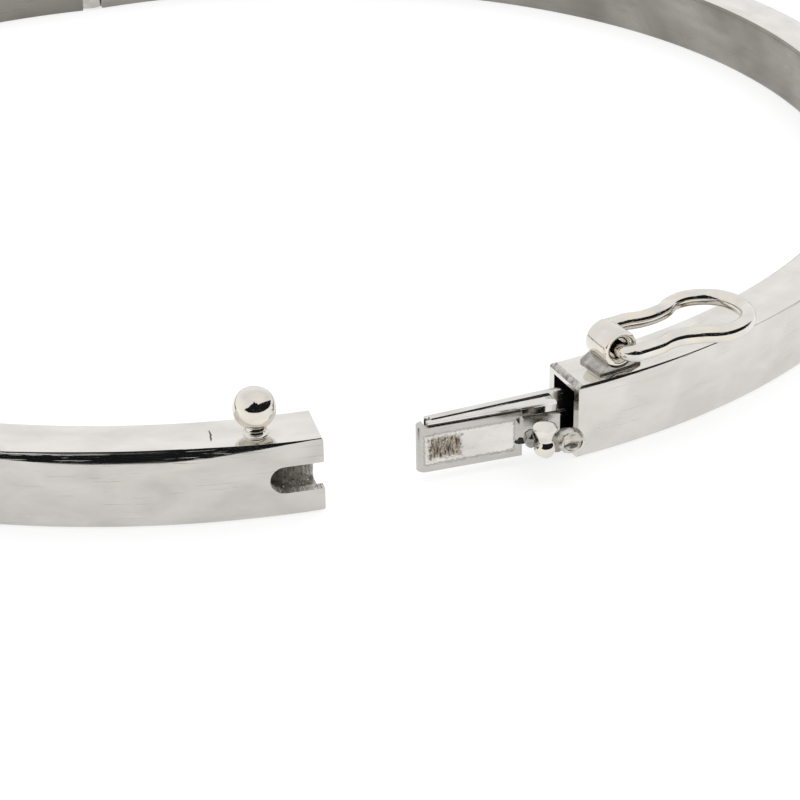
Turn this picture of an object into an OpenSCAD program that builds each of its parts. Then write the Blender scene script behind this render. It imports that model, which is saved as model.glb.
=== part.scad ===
// Hinged bangle bracelet of hollow rectangular tube.
// It has a spring tongue clasp and a figure-eight safety catch over a ball.
// Millimetres, +Z up. The ring lies flat, with its lower edges on z = 0.
// The clasp is towards -Y, and the hinge is at +Y.
// Angles "t" run round the ring from the clasp towards +X.

/* [Ring] */
// Outside diameter of the closed ring
outer_d = 64; // [60:1:70]
// Height of the band, along the wrist
band_w = 3.4; // [3.3:0.1:4]
// Thickness of the band, outside to inside
band_t = 2.5; // [2.4:0.05:2.7]
// Wall of the hollow tube
wall = 0.4; // [0.35:0.05:0.4]
// Radius of the long edges of the tube
edge_r = 0.25; // [0.1:0.05:0.3]
// How far the ring stands open at the hinge, in degrees
open_deg = 10; // [0:0.5:24]

/* [Clasp] */
// Length of the solid-ended clasp block on the left half
block_l = 4.25; // [4:0.05:6]
// Length of the thumb notch in the block's outer wall
notch_l = 2.1; // [2:0.05:2.4]
// Height of the thumb notch
notch_h = 1.2; // [1.1:0.05:1.4]
// How far the folded tongue stands out of the right half
tongue_l = 6.65; // [6:0.05:6.8]
// Height of the tongue
tongue_h = 2.1; // [1.8:0.05:2.2]
// Height of the tongue's front leaf
front_h = 2.04; // [1.8:0.02:2.1]
// How far the front leaf sits below the band's middle
front_drop = 0.17; // [0:0.01:0.2]
// Thickness of the tongue's strip
leaf_t = 0.3; // [0.25:0.01:0.32]
// How far the sprung front leaf stands open from the rear leaf, in degrees
leaf_open = 5; // [3:0.1:5]
// How far the tongue leans in towards its tip, in degrees
tongue_lean = 2.6; // [2.4:0.1:3.4]
// Distance from the right half's end face to the leaf's shoulders
shoulder_l = 2.2; // [2.15:0.05:3.2]
// Height of the neck between the shoulders and the thumb piece
neck_h = 0.95; // [0.8:0.05:1]

/* [Safety catch] */
// Diameter of the catch ball
ball_d = 1.75; // [1.5:0.05:1.85]
// Height of the ball's centre above the band
ball_rise = 1.14; // [1.1:0.02:1.3]
// Distance from the left end face to the ball
ball_l = 2.45; // [2.4:0.05:2.7]
// Diameter of the catch's knuckle tube
tube_d = 1.6; // [1.5:0.05:1.7]
// Length of the catch's knuckle tube
tube_l = 1.5; // [1.4:0.05:1.7]
// Height of the knuckle tube's axis above the band
tube_rise = 0.95; // [0.95:0.01:1.05]
// Distance from the right end face to the knuckle tube
tube_pos = 2.15; // [1.9:0.05:2.3]
// Diameter of the figure-eight's wire
wire_d = 0.74; // [0.6:0.02:0.76]
// Half width of the figure-eight's far loop, at the wire's centre
loop_r = 1.75; // [1.6:0.05:1.8]

/* [Hinge] */
// Diameter of the hinge pin
pin_d = 1; // [0.8:0.05:1.1]
// Running clearance of the hinge and of the catch's wire
run_gap = 0.06; // [0.03:0.01:0.09]
// Gap between neighbouring knuckles
knuckle_gap = 0.05; // [0.03:0.01:0.1]

/* [Part selection] */
// Node to draw, or all of them

/* [Hidden] */
$fn = 72;
eps = 0.01;
r_out = outer_d / 2;
r_in = r_out - band_t;
r_mid = r_out - band_t / 2;
z_mid = band_w / 2;
z_front = z_mid - front_drop;
end_gap = 0.05;
// Degrees of ring for one millimetre of arc at the band's middle
deg = 180 / (PI * r_mid);
t_end = end_gap / 2 * deg;
t_block = block_l * deg;
// Hinge
knuckle_r = band_t / 2;
head_h = 0.12;
knuckle_z0 = head_h + 0.03;
knuckle_h = (band_w - 2 * knuckle_z0 - 2 * knuckle_gap) / 3;
t_hinge = 180 - 0.5 * deg;
t_hinge_block = 180 - 3.2 * deg;
// Tongue
r_tongue = r_mid - 0.07;
leaf_gap = 0.05;
fold_r = leaf_t + leaf_gap / 2;
fold_x = fold_r - tongue_l;
fold_y = -(leaf_t + leaf_gap) / 2;
front_y = fold_y - fold_r;
anchor_l0 = 1.5;
anchor_l1 = 4;
panel_deep = 0.05;
// Thumb piece
post_x = -1.3;
post_r = 0.38;
post_h = 1.7;
bud = [-2.05, r_out + 1.35, z_mid + 0.14];
lobe_left = [-2.47, r_out + 0.93, z_mid + 0.42];
lobe_right = [-0.93, r_out + 1.12, z_mid + 0.05];
lobe_left_r = 0.38;
lobe_right_r = 0.6;
bud_r = 0.45;
// Catch
t_ball = -(ball_l + end_gap / 2) * deg;
r_ball = r_mid + 0.2;
t_tube = (tube_pos + end_gap / 2) * deg;
r_tube = r_mid + 0.1;
z_tube = band_w + tube_rise;
wire_r = wire_d / 2;
corner_arc = 0.5;
side_v = tube_l / 2 + 0.05 + corner_arc;
side_u = 1.2;
curve_r = 2.4;
waist_v = 1.1;
waist_u = side_u + sqrt(pow(2 * curve_r, 2) - pow(waist_v - side_v + 2 * curve_r, 2));
loop_u = waist_u + sqrt(pow(curve_r + loop_r, 2) - pow(waist_v + curve_r, 2));
side_turn = asin((waist_u - side_u) / (2 * curve_r));
loop_turn = asin((loop_u - waist_u) / (curve_r + loop_r));
join_l = 0.04;
join_step = 0.006;

// ---- Helpers ----

// Sweeps a profile of radius and height round the ring, from t0 to t1
module ring_arc(t0, t1) {
  rotate([0, 0, t0 - 90])
    rotate_extrude(angle = t1 - t0)
      children();
}

// Local frame on the ring: +X along it, -Y outwards
module at_ring(t, r, z) {
  rotate([0, 0, t])
    translate([0, -r, z])
      children();
}

// Carries a closed right half to where it stands open
module opened() {
  translate([0, r_mid, 0])
    rotate([0, 0, open_deg])
      translate([0, -r_mid, 0])
        children();
}

// Frame of the tongue: X along the strip, from the right half's end face
module tongue_frame() {
  translate([0, -r_tongue, 0])
    rotate([0, 0, -tongue_lean])
      children();
}

// Carries the tongue's front leaf from pressed to let out
module relaxed() {
  tongue_frame()
    translate([fold_x, fold_y, 0])
      rotate([0, 0, -leaf_open])
        translate([-fold_x, -fold_y, 0])
          children();
}

module rounded(x0, x1, y0, y1, r) {
  translate([x0 + r, y0])
    square([x1 - x0 - 2 * r, y1 - y0]);
  translate([x0, y0 + r])
    square([x1 - x0, y1 - y0 - 2 * r]);
  for (x = [x0 + r, x1 - r])
    for (y = [y0 + r, y1 - r])
      translate([x, y])
        circle(r = r);
}

module band_outline() {
  rounded(r_in, r_out, 0, band_w, edge_r);
}

module band_hollow() {
  translate([r_in + wall, wall])
    square([band_t - 2 * wall, band_w - 2 * wall]);
}

module tube_profile() {
  difference() {
    band_outline();
    band_hollow();
  }
}

module hinge_round(r, z0, z1) {
  translate([0, r_mid, z0])
    cylinder(r = r, h = z1 - z0);
}

// Knuckle levels, counted from the bottom
function level_z(i) = knuckle_z0 + i * (knuckle_h + knuckle_gap);

// A bevel across the band's top at an end face; s is the side the end faces
module end_bevel(t, s) {
  at_ring(t, r_mid, band_w)
    rotate([0, 45 * s, 0])
      translate([-0.25, -band_t, -1])
        cube([0.5, 2 * band_t, 2]);
}

// ---- Left half ----

module left_band() {
  color([0.80, 0.80, 0.79])
    ring_arc(-t_hinge_block, -t_block)
      tube_profile();
}

module clasp_block() {
  color([0.88, 0.87, 0.85])
    difference() {
      ring_arc(-t_block, -t_end)
        tube_profile();
      // Thumb notch, open at the end face
      at_ring(-t_end, r_mid, z_mid)
        rotate([90, 0, 0])
          linear_extrude(height = band_t)
            thumb_notch();
      at_ring(-t_end, r_mid, band_w)
        rotate([0, 45, 0])
          translate([-0.14, -band_t, -1])
            cube([0.28, 2 * band_t, 2]);
    }
}

module thumb_notch() {
  translate([-notch_l + notch_h / 2, 0])
    circle(d = notch_h);
  translate([-notch_l + notch_h / 2, -notch_h / 2])
    square([notch_l, notch_h]);
}

module ball_post() {
  color([0.62, 0.62, 0.62])
    difference() {
      at_ring(t_ball, r_ball, band_w)
        union() {
          cylinder(r = 0.44, h = ball_rise - 0.2);
          cylinder(r1 = 0.62, r2 = 0.44, h = 0.14);
        }
      at_ring(t_ball, r_ball, band_w + ball_rise)
        sphere(d = ball_d);
    }
}

module catch_ball() {
  color([0.93, 0.92, 0.90])
    at_ring(t_ball, r_ball, band_w + ball_rise)
      sphere(d = ball_d);
}

module left_hinge_block() {
  color([0.70, 0.70, 0.70])
    difference() {
      ring_arc(-t_hinge, -t_hinge_block)
        band_outline();
      hinge_round(knuckle_r, -1, band_w + 1);
      hinge_round(knuckle_r + run_gap, level_z(1) - knuckle_gap, level_z(2));
    }
}

module knuckle(i, bore_r) {
  difference() {
    hinge_round(knuckle_r, level_z(i), level_z(i) + knuckle_h);
    hinge_round(bore_r, level_z(i) - 1, level_z(i) + knuckle_h + 1);
  }
}

module left_knuckle_top() {
  color([0.78, 0.76, 0.72])
    knuckle(2, pin_d / 2);
}

module left_knuckle_bottom() {
  color([0.78, 0.76, 0.72])
    knuckle(0, pin_d / 2);
}

module hinge_pin() {
  color([0.55, 0.55, 0.57])
    hinge_round(pin_d / 2, level_z(0), level_z(2) + knuckle_h);
}

module pin_head_top() {
  color([0.5, 0.5, 0.52])
    translate([0, r_mid, level_z(2) + knuckle_h])
      cylinder(r1 = pin_d / 2 + 0.2, r2 = pin_d / 2, h = head_h);
}

module pin_head_bottom() {
  color([0.5, 0.5, 0.52])
    translate([0, r_mid, level_z(0) - head_h])
      cylinder(r1 = pin_d / 2, r2 = pin_d / 2 + 0.2, h = head_h);
}

// ---- Right half ----

module right_band() {
  color([0.82, 0.81, 0.80])
    opened()
      difference() {
        ring_arc(t_end, t_hinge_block)
          tube_profile();
        end_bevel(t_end, 1);
      }
}

// Plug inside the tube's end, which holds the rear leaf
module tongue_anchor() {
  color([0.35, 0.35, 0.36])
    opened()
      difference() {
        ring_arc(anchor_l0 * deg, anchor_l1 * deg)
          band_hollow();
        rear_leaf_solid();
      }
}

module rear_leaf_solid() {
  tongue_frame()
    translate([fold_x, -leaf_t / 2, z_mid - tongue_h / 2])
      cube([anchor_l1 - 0.5 - fold_x, leaf_t, tongue_h]);
}

module tongue_rear_leaf() {
  color([0.92, 0.92, 0.92])
    opened()
      difference() {
        rear_leaf_solid();
        tongue_frame()
          translate([fold_x, fold_y, -1])
            cylinder(r = fold_r + 0.03, h = band_w + 2);
      }
}

module right_hinge_block() {
  color([0.70, 0.70, 0.70])
    opened()
      difference() {
        ring_arc(t_hinge_block, t_hinge)
          band_outline();
        hinge_round(knuckle_r, -1, band_w + 1);
        hinge_round(knuckle_r + run_gap, -1, level_z(1) - knuckle_gap / 2);
        hinge_round(knuckle_r + run_gap, level_z(2) - knuckle_gap / 2, band_w + 1);
      }
}

module right_knuckle() {
  color([0.74, 0.73, 0.70])
    opened()
      knuckle(1, pin_d / 2 + run_gap);
}

module catch_saddle() {
  color([0.50, 0.50, 0.50])
    opened()
      difference() {
        at_ring(t_tube, r_tube - tube_l / 2, band_w)
          rotate([90, 0, 0])
            linear_extrude(height = tube_l)
              polygon([
                [-1, 0], [1, 0], [1, 0.12], [0.56, 0.4],
                [-0.56, 0.4], [-1, 0.12]
              ]);
        tube_round(tube_d / 2, tube_l + 1);
      }
}

module tube_round(r, l) {
  at_ring(t_tube, r_tube - l / 2, z_tube)
    rotate([90, 0, 0])
      cylinder(r = r, h = l);
}

module catch_tube() {
  color([0.85, 0.85, 0.84])
    opened()
      difference() {
        tube_round(tube_d / 2, tube_l);
        tube_round(wire_r + run_gap, tube_l + 1);
        // Countersunk mouths
        for (s = [0, 180])
          at_ring(t_tube, r_tube, z_tube)
            rotate([0, 0, s])
              translate([0, -tube_l / 2 + 0.2, 0])
                rotate([90, 0, 0])
                  cylinder(r1 = wire_r + run_gap, r2 = wire_r + run_gap + 0.21, h = 0.21);
      }
}

// ---- Spring leaf, drawn pressed and then let out ----

module tongue_spring_leaf() {
  color([0.95, 0.94, 0.92])
    opened()
      relaxed()
        difference() {
          union() {
            translate([fold_x, fold_y, z_front - front_h / 2])
              cylinder(r = fold_r, h = front_h);
            translate([fold_x, front_y, z_front - front_h / 2])
              cube([-shoulder_l - fold_x, leaf_t, front_h]);
            translate([-shoulder_l - eps, front_y, z_mid - neck_h / 2])
              cube([shoulder_l - 0.55 + eps, leaf_t, neck_h]);
          }
          // Sunk panel inside a raised border
          translate([fold_x + 0.35, front_y - 1, z_front - front_h / 2 + 0.3])
            cube([-shoulder_l - fold_x - 0.6, 1 + panel_deep, front_h - 0.6]);
        }
}

module thumb_ball(p, r) {
  at_ring(p[0] * deg, p[1], p[2])
    sphere(r = r);
}

module bud_solid() {
  thumb_ball(bud, bud_r);
  at_ring(bud[0] * deg, bud[1], bud[2] + 0.25)
    cylinder(r1 = 0.28, r2 = 0.5, h = 0.65);
  at_ring(bud[0] * deg, bud[1], bud[2] + 0.9)
    cylinder(r1 = 0.5, r2 = 0.3, h = 0.14);
}

module thumb_post() {
  color([0.6, 0.6, 0.6])
    opened()
      difference() {
        relaxed()
          translate([post_x, front_y, z_mid])
            rotate([90, 0, 0])
              cylinder(r = post_r, h = post_h);
        bud_solid();
        thumb_ball(lobe_left, lobe_left_r);
        thumb_ball(lobe_right, lobe_right_r);
      }
}

module thumb_bud() {
  color([0.94, 0.92, 0.86])
    opened()
      bud_solid();
}

module thumb_lobe_left() {
  color([0.85, 0.84, 0.82])
    opened()
      difference() {
        at_ring(lobe_left[0] * deg, lobe_left[1], lobe_left[2])
          rotate([0, 0, 180])
            sphere(r = lobe_left_r);
        bud_solid();
      }
}

module thumb_lobe_right() {
  color([0.88, 0.87, 0.85])
    opened()
      difference() {
        thumb_ball(lobe_right, lobe_right_r);
        bud_solid();
      }
}

// ---- Figure-eight safety catch, in its own frame: u along X, tube axis along Y ----

// A bent length of wire. The lengths between the bends are a hair thinner,
// and run a little way into them, so that the whole wire is one solid.
module wire_bend(u, v, r, a0, a1) {
  translate([u, v, 0])
    rotate([0, 0, a0])
      rotate_extrude(angle = a1 - a0)
        translate([r, 0])
          circle(r = wire_r);
}

module wire_sweep(u, v, r, a0, a1) {
  more = join_l / r * 180 / PI;
  translate([u, v, 0])
    rotate([0, 0, a0 - more])
      rotate_extrude(angle = a1 - a0 + 2 * more)
        translate([r, 0])
          circle(r = wire_r - join_step);
}

module wire_rod(u, v, l, a) {
  translate([u, v, 0])
    rotate([0, 0, a])
      translate([-join_l, 0, 0])
        rotate([0, 90, 0])
          cylinder(r = wire_r - join_step, h = l + 2 * join_l);
}

// One side of the eight; s is 1 for the inner side and -1 for the outer side
module half_eight(s) {
  a_corner = s > 0 ? 90 : 180;
  a_side = s > 0 ? 90 - side_turn : -90;
  a_waist = s > 0 ? -90 - side_turn : 90 - loop_turn;
  wire_bend(corner_arc, s * (side_v - corner_arc), corner_arc, a_corner, a_corner + 90);
  wire_rod(corner_arc, s * side_v, side_u - corner_arc, 0);
  wire_bend(side_u, s * (side_v - curve_r), curve_r, a_side, a_side + side_turn);
  wire_sweep(
    waist_u, s * (waist_v + curve_r), curve_r, a_waist, a_waist + side_turn + loop_turn
  );
}

module figure_eight() {
  $fn = 28;
  color([0.90, 0.90, 0.88])
    opened()
      at_ring(t_tube, r_tube, z_tube) {
        wire_rod(0, -side_v + corner_arc, 2 * (side_v - corner_arc), 90);
        half_eight(1);
        half_eight(-1);
        wire_bend(loop_u, 0, loop_r, -90 - loop_turn, 90 + loop_turn);
      }
}

left_band();
clasp_block();
ball_post();
catch_ball();
left_hinge_block();
left_knuckle_top();
left_knuckle_bottom();
hinge_pin();
pin_head_top();
pin_head_bottom();
right_band();
tongue_anchor();
tongue_rear_leaf();
right_hinge_block();
right_knuckle();
catch_saddle();
catch_tube();
tongue_spring_leaf();
thumb_post();
thumb_bud();
thumb_lobe_left();
thumb_lobe_right();
figure_eight();
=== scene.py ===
import logging
import math
from collections.abc import Callable, Iterable, Sequence
from dataclasses import dataclass, field, replace
from enum import Enum

import bmesh
import bpy
from mathutils import Matrix, Vector, noise


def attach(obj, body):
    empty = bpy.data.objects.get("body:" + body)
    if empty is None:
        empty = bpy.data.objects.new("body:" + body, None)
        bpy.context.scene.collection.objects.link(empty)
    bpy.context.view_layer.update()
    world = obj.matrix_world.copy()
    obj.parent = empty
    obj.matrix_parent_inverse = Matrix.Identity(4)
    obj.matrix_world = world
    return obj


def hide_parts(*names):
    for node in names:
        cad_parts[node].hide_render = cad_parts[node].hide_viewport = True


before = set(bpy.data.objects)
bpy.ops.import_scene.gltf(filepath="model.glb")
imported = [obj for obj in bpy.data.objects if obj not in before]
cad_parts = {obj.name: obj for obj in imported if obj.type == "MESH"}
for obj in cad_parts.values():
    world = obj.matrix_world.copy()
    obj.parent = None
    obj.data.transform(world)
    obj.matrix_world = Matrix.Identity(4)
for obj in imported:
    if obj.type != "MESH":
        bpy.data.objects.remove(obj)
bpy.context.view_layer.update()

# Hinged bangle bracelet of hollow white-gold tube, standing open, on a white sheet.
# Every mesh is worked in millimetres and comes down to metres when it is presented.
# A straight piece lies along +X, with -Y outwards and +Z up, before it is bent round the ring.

log = logging.getLogger("bangle")

MM = 0.001
SEED = 11
SMOOTH_UNDER_DEG = 32.0
# Stands a prism or a turned piece up, so that its height lies outwards
UPRIGHT = Matrix.Rotation(math.radians(90), 4, "X")
# Arc from the right half's end to the middle of the safety catch's tube
CATCH_FROM_END = 2.15

Material = bpy.types.Material
Mesh = bpy.types.Mesh
Node = bpy.types.Node
Socket = bpy.types.NodeSocket
Tree = bpy.types.NodeTree
Point = tuple[float, float]
Place = tuple[float, float, float]
Look = tuple[Socket, Socket, Socket]


class Body(Enum):
    """The bodies of the frame that pieces ride on."""

    LEFT = "left_half"
    RIGHT = "right_half"
    LEAF = "spring_leaf"
    CATCH = "safety_catch"


class Slot(Enum):
    """The record's material slots."""

    BAND = "polished_band"
    HINGE = "hinge_knuckles"
    TONGUE = "tongue_strip"
    THUMB = "thumb_piece"
    CATCH = "catch_findings"


# ---- Ring ----


@dataclass(frozen=True)
class Ring:
    """The closed ring's plan, in millimetres, and the way its right half stands open."""

    outer_d: float = 64.0
    tall: float = 3.4
    thick: float = 2.5
    wall: float = 0.4
    open_deg: float = 10.0
    end_gap: float = 0.05
    knuckle_r: float = 1.25
    run_gap: float = 0.06

    @property
    def r_mid(self) -> float:
        """Radius at the middle of the tube."""
        return self.outer_d / 2 - self.thick / 2

    @property
    def half_length(self) -> float:
        """Arc from the clasp to the hinge."""
        return math.pi * self.r_mid

    @property
    def bore(self) -> Place:
        """The tube's bore: half its width, and the heights of its floor and its roof."""
        return self.thick / 2 - self.wall, self.wall, self.tall - self.wall

    def turn(self, arc: float) -> float:
        """Degrees of ring for an arc."""
        return math.degrees(arc / self.r_mid)

    def at(self, arc: float, radius: float, height: float) -> Matrix:
        """Local frame on the ring: +X along it, -Y outwards.

        Args:
            arc: Distance from the clasp towards +X, at the tube's middle.
            radius: Distance from the ring's centre.
            height: Height above the sheet.

        Returns:
            The frame as a matrix.
        """
        spin = Matrix.Rotation(math.radians(self.turn(arc)), 4, "Z")
        return spin @ Matrix.Translation((0, -radius, height))

    def opened(self) -> Matrix:
        """The move that carries the closed right half to where it stands open."""
        hinge = Vector((0, self.r_mid, 0))
        spin = Matrix.Rotation(math.radians(self.open_deg), 4, "Z")
        return Matrix.Translation(hinge) @ spin @ Matrix.Translation(-hinge)

    def bend(self, mesh: Mesh) -> Mesh:
        """Bends a straight mesh round the ring.

        Args:
            mesh: A mesh along +X whose zero is at the clasp.

        Returns:
            The same mesh.
        """
        for vertex in mesh.vertices:
            x, y, z = vertex.co
            radius, angle = self.r_mid - y, x / self.r_mid
            vertex.co = (radius * math.sin(angle), -radius * math.cos(angle), z)
        mesh.update()
        return mesh


RING = Ring()


# ---- Nodes ----


def put(
    tree: Tree,
    kind: str,
    inputs: dict[str | int, object] | None = None,
    **settings: object,
) -> Node:
    """Adds one node with its settings and links.

    Args:
        tree: The tree it goes into.
        kind: The node's type.
        inputs: A value or another node's output socket for each input, by name or number.
        settings: The node's own settings.

    Returns:
        The new node.
    """
    node = tree.nodes.new(kind)
    for name, value in settings.items():
        setattr(node, name, value)
    for name, value in (inputs or {}).items():
        if isinstance(value, Socket):
            tree.links.new(value, node.inputs[name])
        elif isinstance(value, list):
            for socket in value:
                tree.links.new(socket, node.inputs[name])
        else:
            node.inputs[name].default_value = value
    return node


def calc(tree: Tree, operation: str, *values: object) -> Socket:
    """Adds one sum.

    Args:
        tree: The tree it goes into.
        operation: What it does.
        values: Its numbers, each a value or another node's output socket.

    Returns:
        Its result's socket.
    """
    return put(tree, "ShaderNodeMath", dict(enumerate(values)), operation=operation).outputs[0]


def blank_material(name: str) -> tuple[Material, Tree]:
    """Starts a material, and gives it with its empty tree."""
    material = bpy.data.materials.new(name)
    material.use_nodes = True
    material.node_tree.nodes.clear()
    return material, material.node_tree


def geometry_tree(name: str, sockets: dict[str, str]) -> tuple[Tree, Node]:
    """Starts a geometry tree with a mesh input and named inputs.

    Args:
        name: The tree's name.
        sockets: Socket type by input name.

    Returns:
        The tree and its input node.
    """
    tree = bpy.data.node_groups.new(name, "GeometryNodeTree")
    tree.interface.new_socket("Mesh", in_out="INPUT", socket_type="NodeSocketGeometry")
    for label, kind in sockets.items():
        tree.interface.new_socket(label, in_out="INPUT", socket_type="NodeSocket" + kind)
    tree.interface.new_socket("Mesh", in_out="OUTPUT", socket_type="NodeSocketGeometry")
    return tree, put(tree, "NodeGroupInput")


def close_tree(
    tree: Tree, geometry: Socket, material: Socket
) -> Tree:
    """Ends a tree in Realize Instances and Set Material.

    Args:
        tree: The tree.
        geometry: What it has made.
        material: The input that holds the material.

    Returns:
        The finished tree.
    """
    real = put(tree, "GeometryNodeRealizeInstances", {"Geometry": geometry})
    dressed = put(
        tree, "GeometryNodeSetMaterial", {"Geometry": real.outputs[0], "Material": material}
    )
    put(tree, "NodeGroupOutput", {"Mesh": dressed.outputs[0]})
    return tree


def carried(mesh: Mesh) -> bpy.types.Object:
    """A passing object that holds a mesh while modifiers work on it."""
    carrier = bpy.data.objects.new("carrier", mesh)
    bpy.context.scene.collection.objects.link(carrier)
    return carrier


def evaluated(carrier: bpy.types.Object) -> Mesh:
    """Makes a passing object's result a plain mesh, and removes the object."""
    depsgraph = bpy.context.evaluated_depsgraph_get()
    mesh = bpy.data.meshes.new_from_object(
        carrier.evaluated_get(depsgraph), preserve_all_data_layers=True, depsgraph=depsgraph
    )
    bpy.data.objects.remove(carrier)
    return mesh


def grown(base: Mesh, tree: Tree, values: dict[str, object]) -> Mesh:
    """Runs a geometry tree on a mesh.

    Args:
        base: The mesh that goes in.
        tree: The tree.
        values: The value of each named input.

    Returns:
        The result as a plain mesh.
    """
    carrier = carried(base)
    modifier = carrier.modifiers.new("nodes", "NODES")
    modifier.node_group = tree
    for item in tree.interface.items_tree:
        if item.in_out == "INPUT" and item.name in values:
            modifier[item.identifier] = values[item.name]
    return evaluated(carrier)


def worked(mesh: Mesh, *steps: tuple[str, dict[str, object]]) -> Mesh:
    """Runs modifiers on a mesh.

    Args:
        mesh: The mesh that goes in.
        steps: Each modifier's type and settings.

    Returns:
        The result as a plain mesh.
    """
    carrier = carried(mesh)
    for kind, settings in steps:
        modifier = carrier.modifiers.new(kind.lower(), kind)
        for name, value in settings.items():
            setattr(modifier, name, value)
    return evaluated(carrier)


def rounded_edges(width: float, segments: int = 2, over_deg: float = 40) -> tuple[str, dict]:
    """The step that rounds a mesh's sharp edges."""
    return "BEVEL", {
        "width": width,
        "segments": segments,
        "limit_method": "ANGLE",
        "angle_limit": math.radians(over_deg),
        "use_clamp_overlap": True,
    }


def cut(mesh: Mesh, tool: Mesh) -> Mesh:
    """Cuts one mesh out of another.

    Args:
        mesh: The stock.
        tool: The shape that is taken away.

    Returns:
        What is left.
    """
    cutter = carried(tool)
    result = worked(
        mesh, ("BOOLEAN", {"object": cutter, "operation": "DIFFERENCE", "solver": "EXACT"})
    )
    bpy.data.objects.remove(cutter)
    return result


# ---- Meshes ----


def from_parts(vertices: Iterable, faces: Iterable) -> Mesh:
    """Makes a closed mesh with its doubles merged and its faces outwards.

    Args:
        vertices: Points.
        faces: Point numbers of each face.

    Returns:
        The mesh.
    """
    mesh = bpy.data.meshes.new("stock")
    mesh.from_pydata([tuple(v) for v in vertices], [], [tuple(f) for f in faces])
    return cleaned(mesh)


def cleaned(mesh: Mesh, merge: float = 1e-5) -> Mesh:
    """Merges a closed mesh's doubles and turns its faces outwards."""
    work = bmesh.new()
    work.from_mesh(mesh)
    bmesh.ops.remove_doubles(work, verts=work.verts, dist=merge)
    bmesh.ops.dissolve_degenerate(work, edges=work.edges, dist=merge)
    bmesh.ops.recalc_face_normals(work, faces=work.faces)
    work.to_mesh(mesh)
    work.free()
    return mesh


def prism(outline: Sequence[Point], low: float, high: float) -> Mesh:
    """Extrudes an outline upwards.

    Args:
        outline: Its corners in X and Y.
        low: Height of the lower face.
        high: Height of the upper face.

    Returns:
        A closed mesh.
    """
    count = len(outline)
    vertices = [(x, y, z) for z in (low, high) for x, y in outline]
    faces = [(i, (i + 1) % count, count + (i + 1) % count, count + i) for i in range(count)]
    faces += [tuple(range(count)), tuple(range(count, 2 * count))]
    return from_parts(vertices, faces)


def block(low: Sequence[float], high: Sequence[float]) -> Mesh:
    """A square block between two corners, as a cutting tool."""
    corners = [(low[0], low[1]), (high[0], low[1]), (high[0], high[1]), (low[0], high[1])]
    return prism(corners, low[2], high[2])


def lathed(profile: Sequence[Point], sides: int = 48) -> Mesh:
    """Turns a profile round the Z axis.

    Args:
        profile: Radius and height of each point. A profile whose ends are off the axis is a loop.
        sides: How many faces go round.

    Returns:
        A closed mesh.
    """
    loop = profile[0][0] > 0
    rows = len(profile)
    vertices = [
        (r * math.cos(a), r * math.sin(a), z)
        for a in (2 * math.pi * i / sides for i in range(sides))
        for r, z in profile
    ]
    faces = [
        (i * rows + j, k * rows + j, k * rows + (j + 1) % rows, i * rows + (j + 1) % rows)
        for i, k in ((i, (i + 1) % sides) for i in range(sides))
        for j in range(rows if loop else rows - 1)
    ]
    return from_parts(vertices, faces)


def rod(radius: float, low: float, high: float, sides: int) -> Mesh:
    """A plain round bar on the Z axis, as a cutting tool."""
    return lathed([(0, low), (radius, low), (radius, high), (0, high)], sides)


def arc_points(
    centre: Point, radius: float, start_deg: float, end_deg: float, steps: int
) -> list[Point]:
    """Points along an arc.

    Args:
        centre: Its centre.
        radius: Its radius.
        start_deg: Angle of the first point.
        end_deg: Angle of the last point.
        steps: How many lengths it is divided into.

    Returns:
        The points, both ends included.
    """
    angles = [
        math.radians(start_deg + (end_deg - start_deg) * i / steps) for i in range(steps + 1)
    ]
    return [
        (centre[0] + radius * math.cos(a), centre[1] + radius * math.sin(a)) for a in angles
    ]


def ball_profile(radius: float, top_deg: float = 90, steps: int = 24) -> list[Point]:
    """Half a ball's outline for the lathe, from its lowest point up to an angle."""
    points = arc_points((0, 0), radius, -90, top_deg, steps)
    points[0] = (0, -radius)
    if top_deg == 90:
        points[-1] = (0, radius)
    return points


def moved(mesh: Mesh, *moves: Matrix) -> Mesh:
    """Moves a mesh by matrices, the last of them first."""
    total = Matrix.Identity(4)
    for move in moves:
        total = total @ move
    mesh.transform(total)
    return mesh


def joined(*meshes: Mesh) -> Mesh:
    """Puts several meshes into one, without merging them."""
    work = bmesh.new()
    for mesh in meshes:
        work.from_mesh(mesh)
    result = bpy.data.meshes.new("joined")
    work.to_mesh(result)
    work.free()
    return result


def hand_worked(mesh: Mesh, depth: float, size: float, offset: float = 0.0) -> Mesh:
    """Gives a mesh the slight unevenness of hand work.

    Args:
        mesh: A mesh with fine faces.
        depth: How far a point may move along its normal.
        size: How wide the hollows are.
        offset: Picks another pattern.

    Returns:
        The same mesh.
    """
    moves = [
        vertex.normal * depth * noise.noise(vertex.co / size + Vector((offset, SEED, 0)))
        for vertex in mesh.vertices
    ]
    for vertex, move in zip(mesh.vertices, moves):
        vertex.co = vertex.co + move
    mesh.update()
    return mesh


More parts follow.
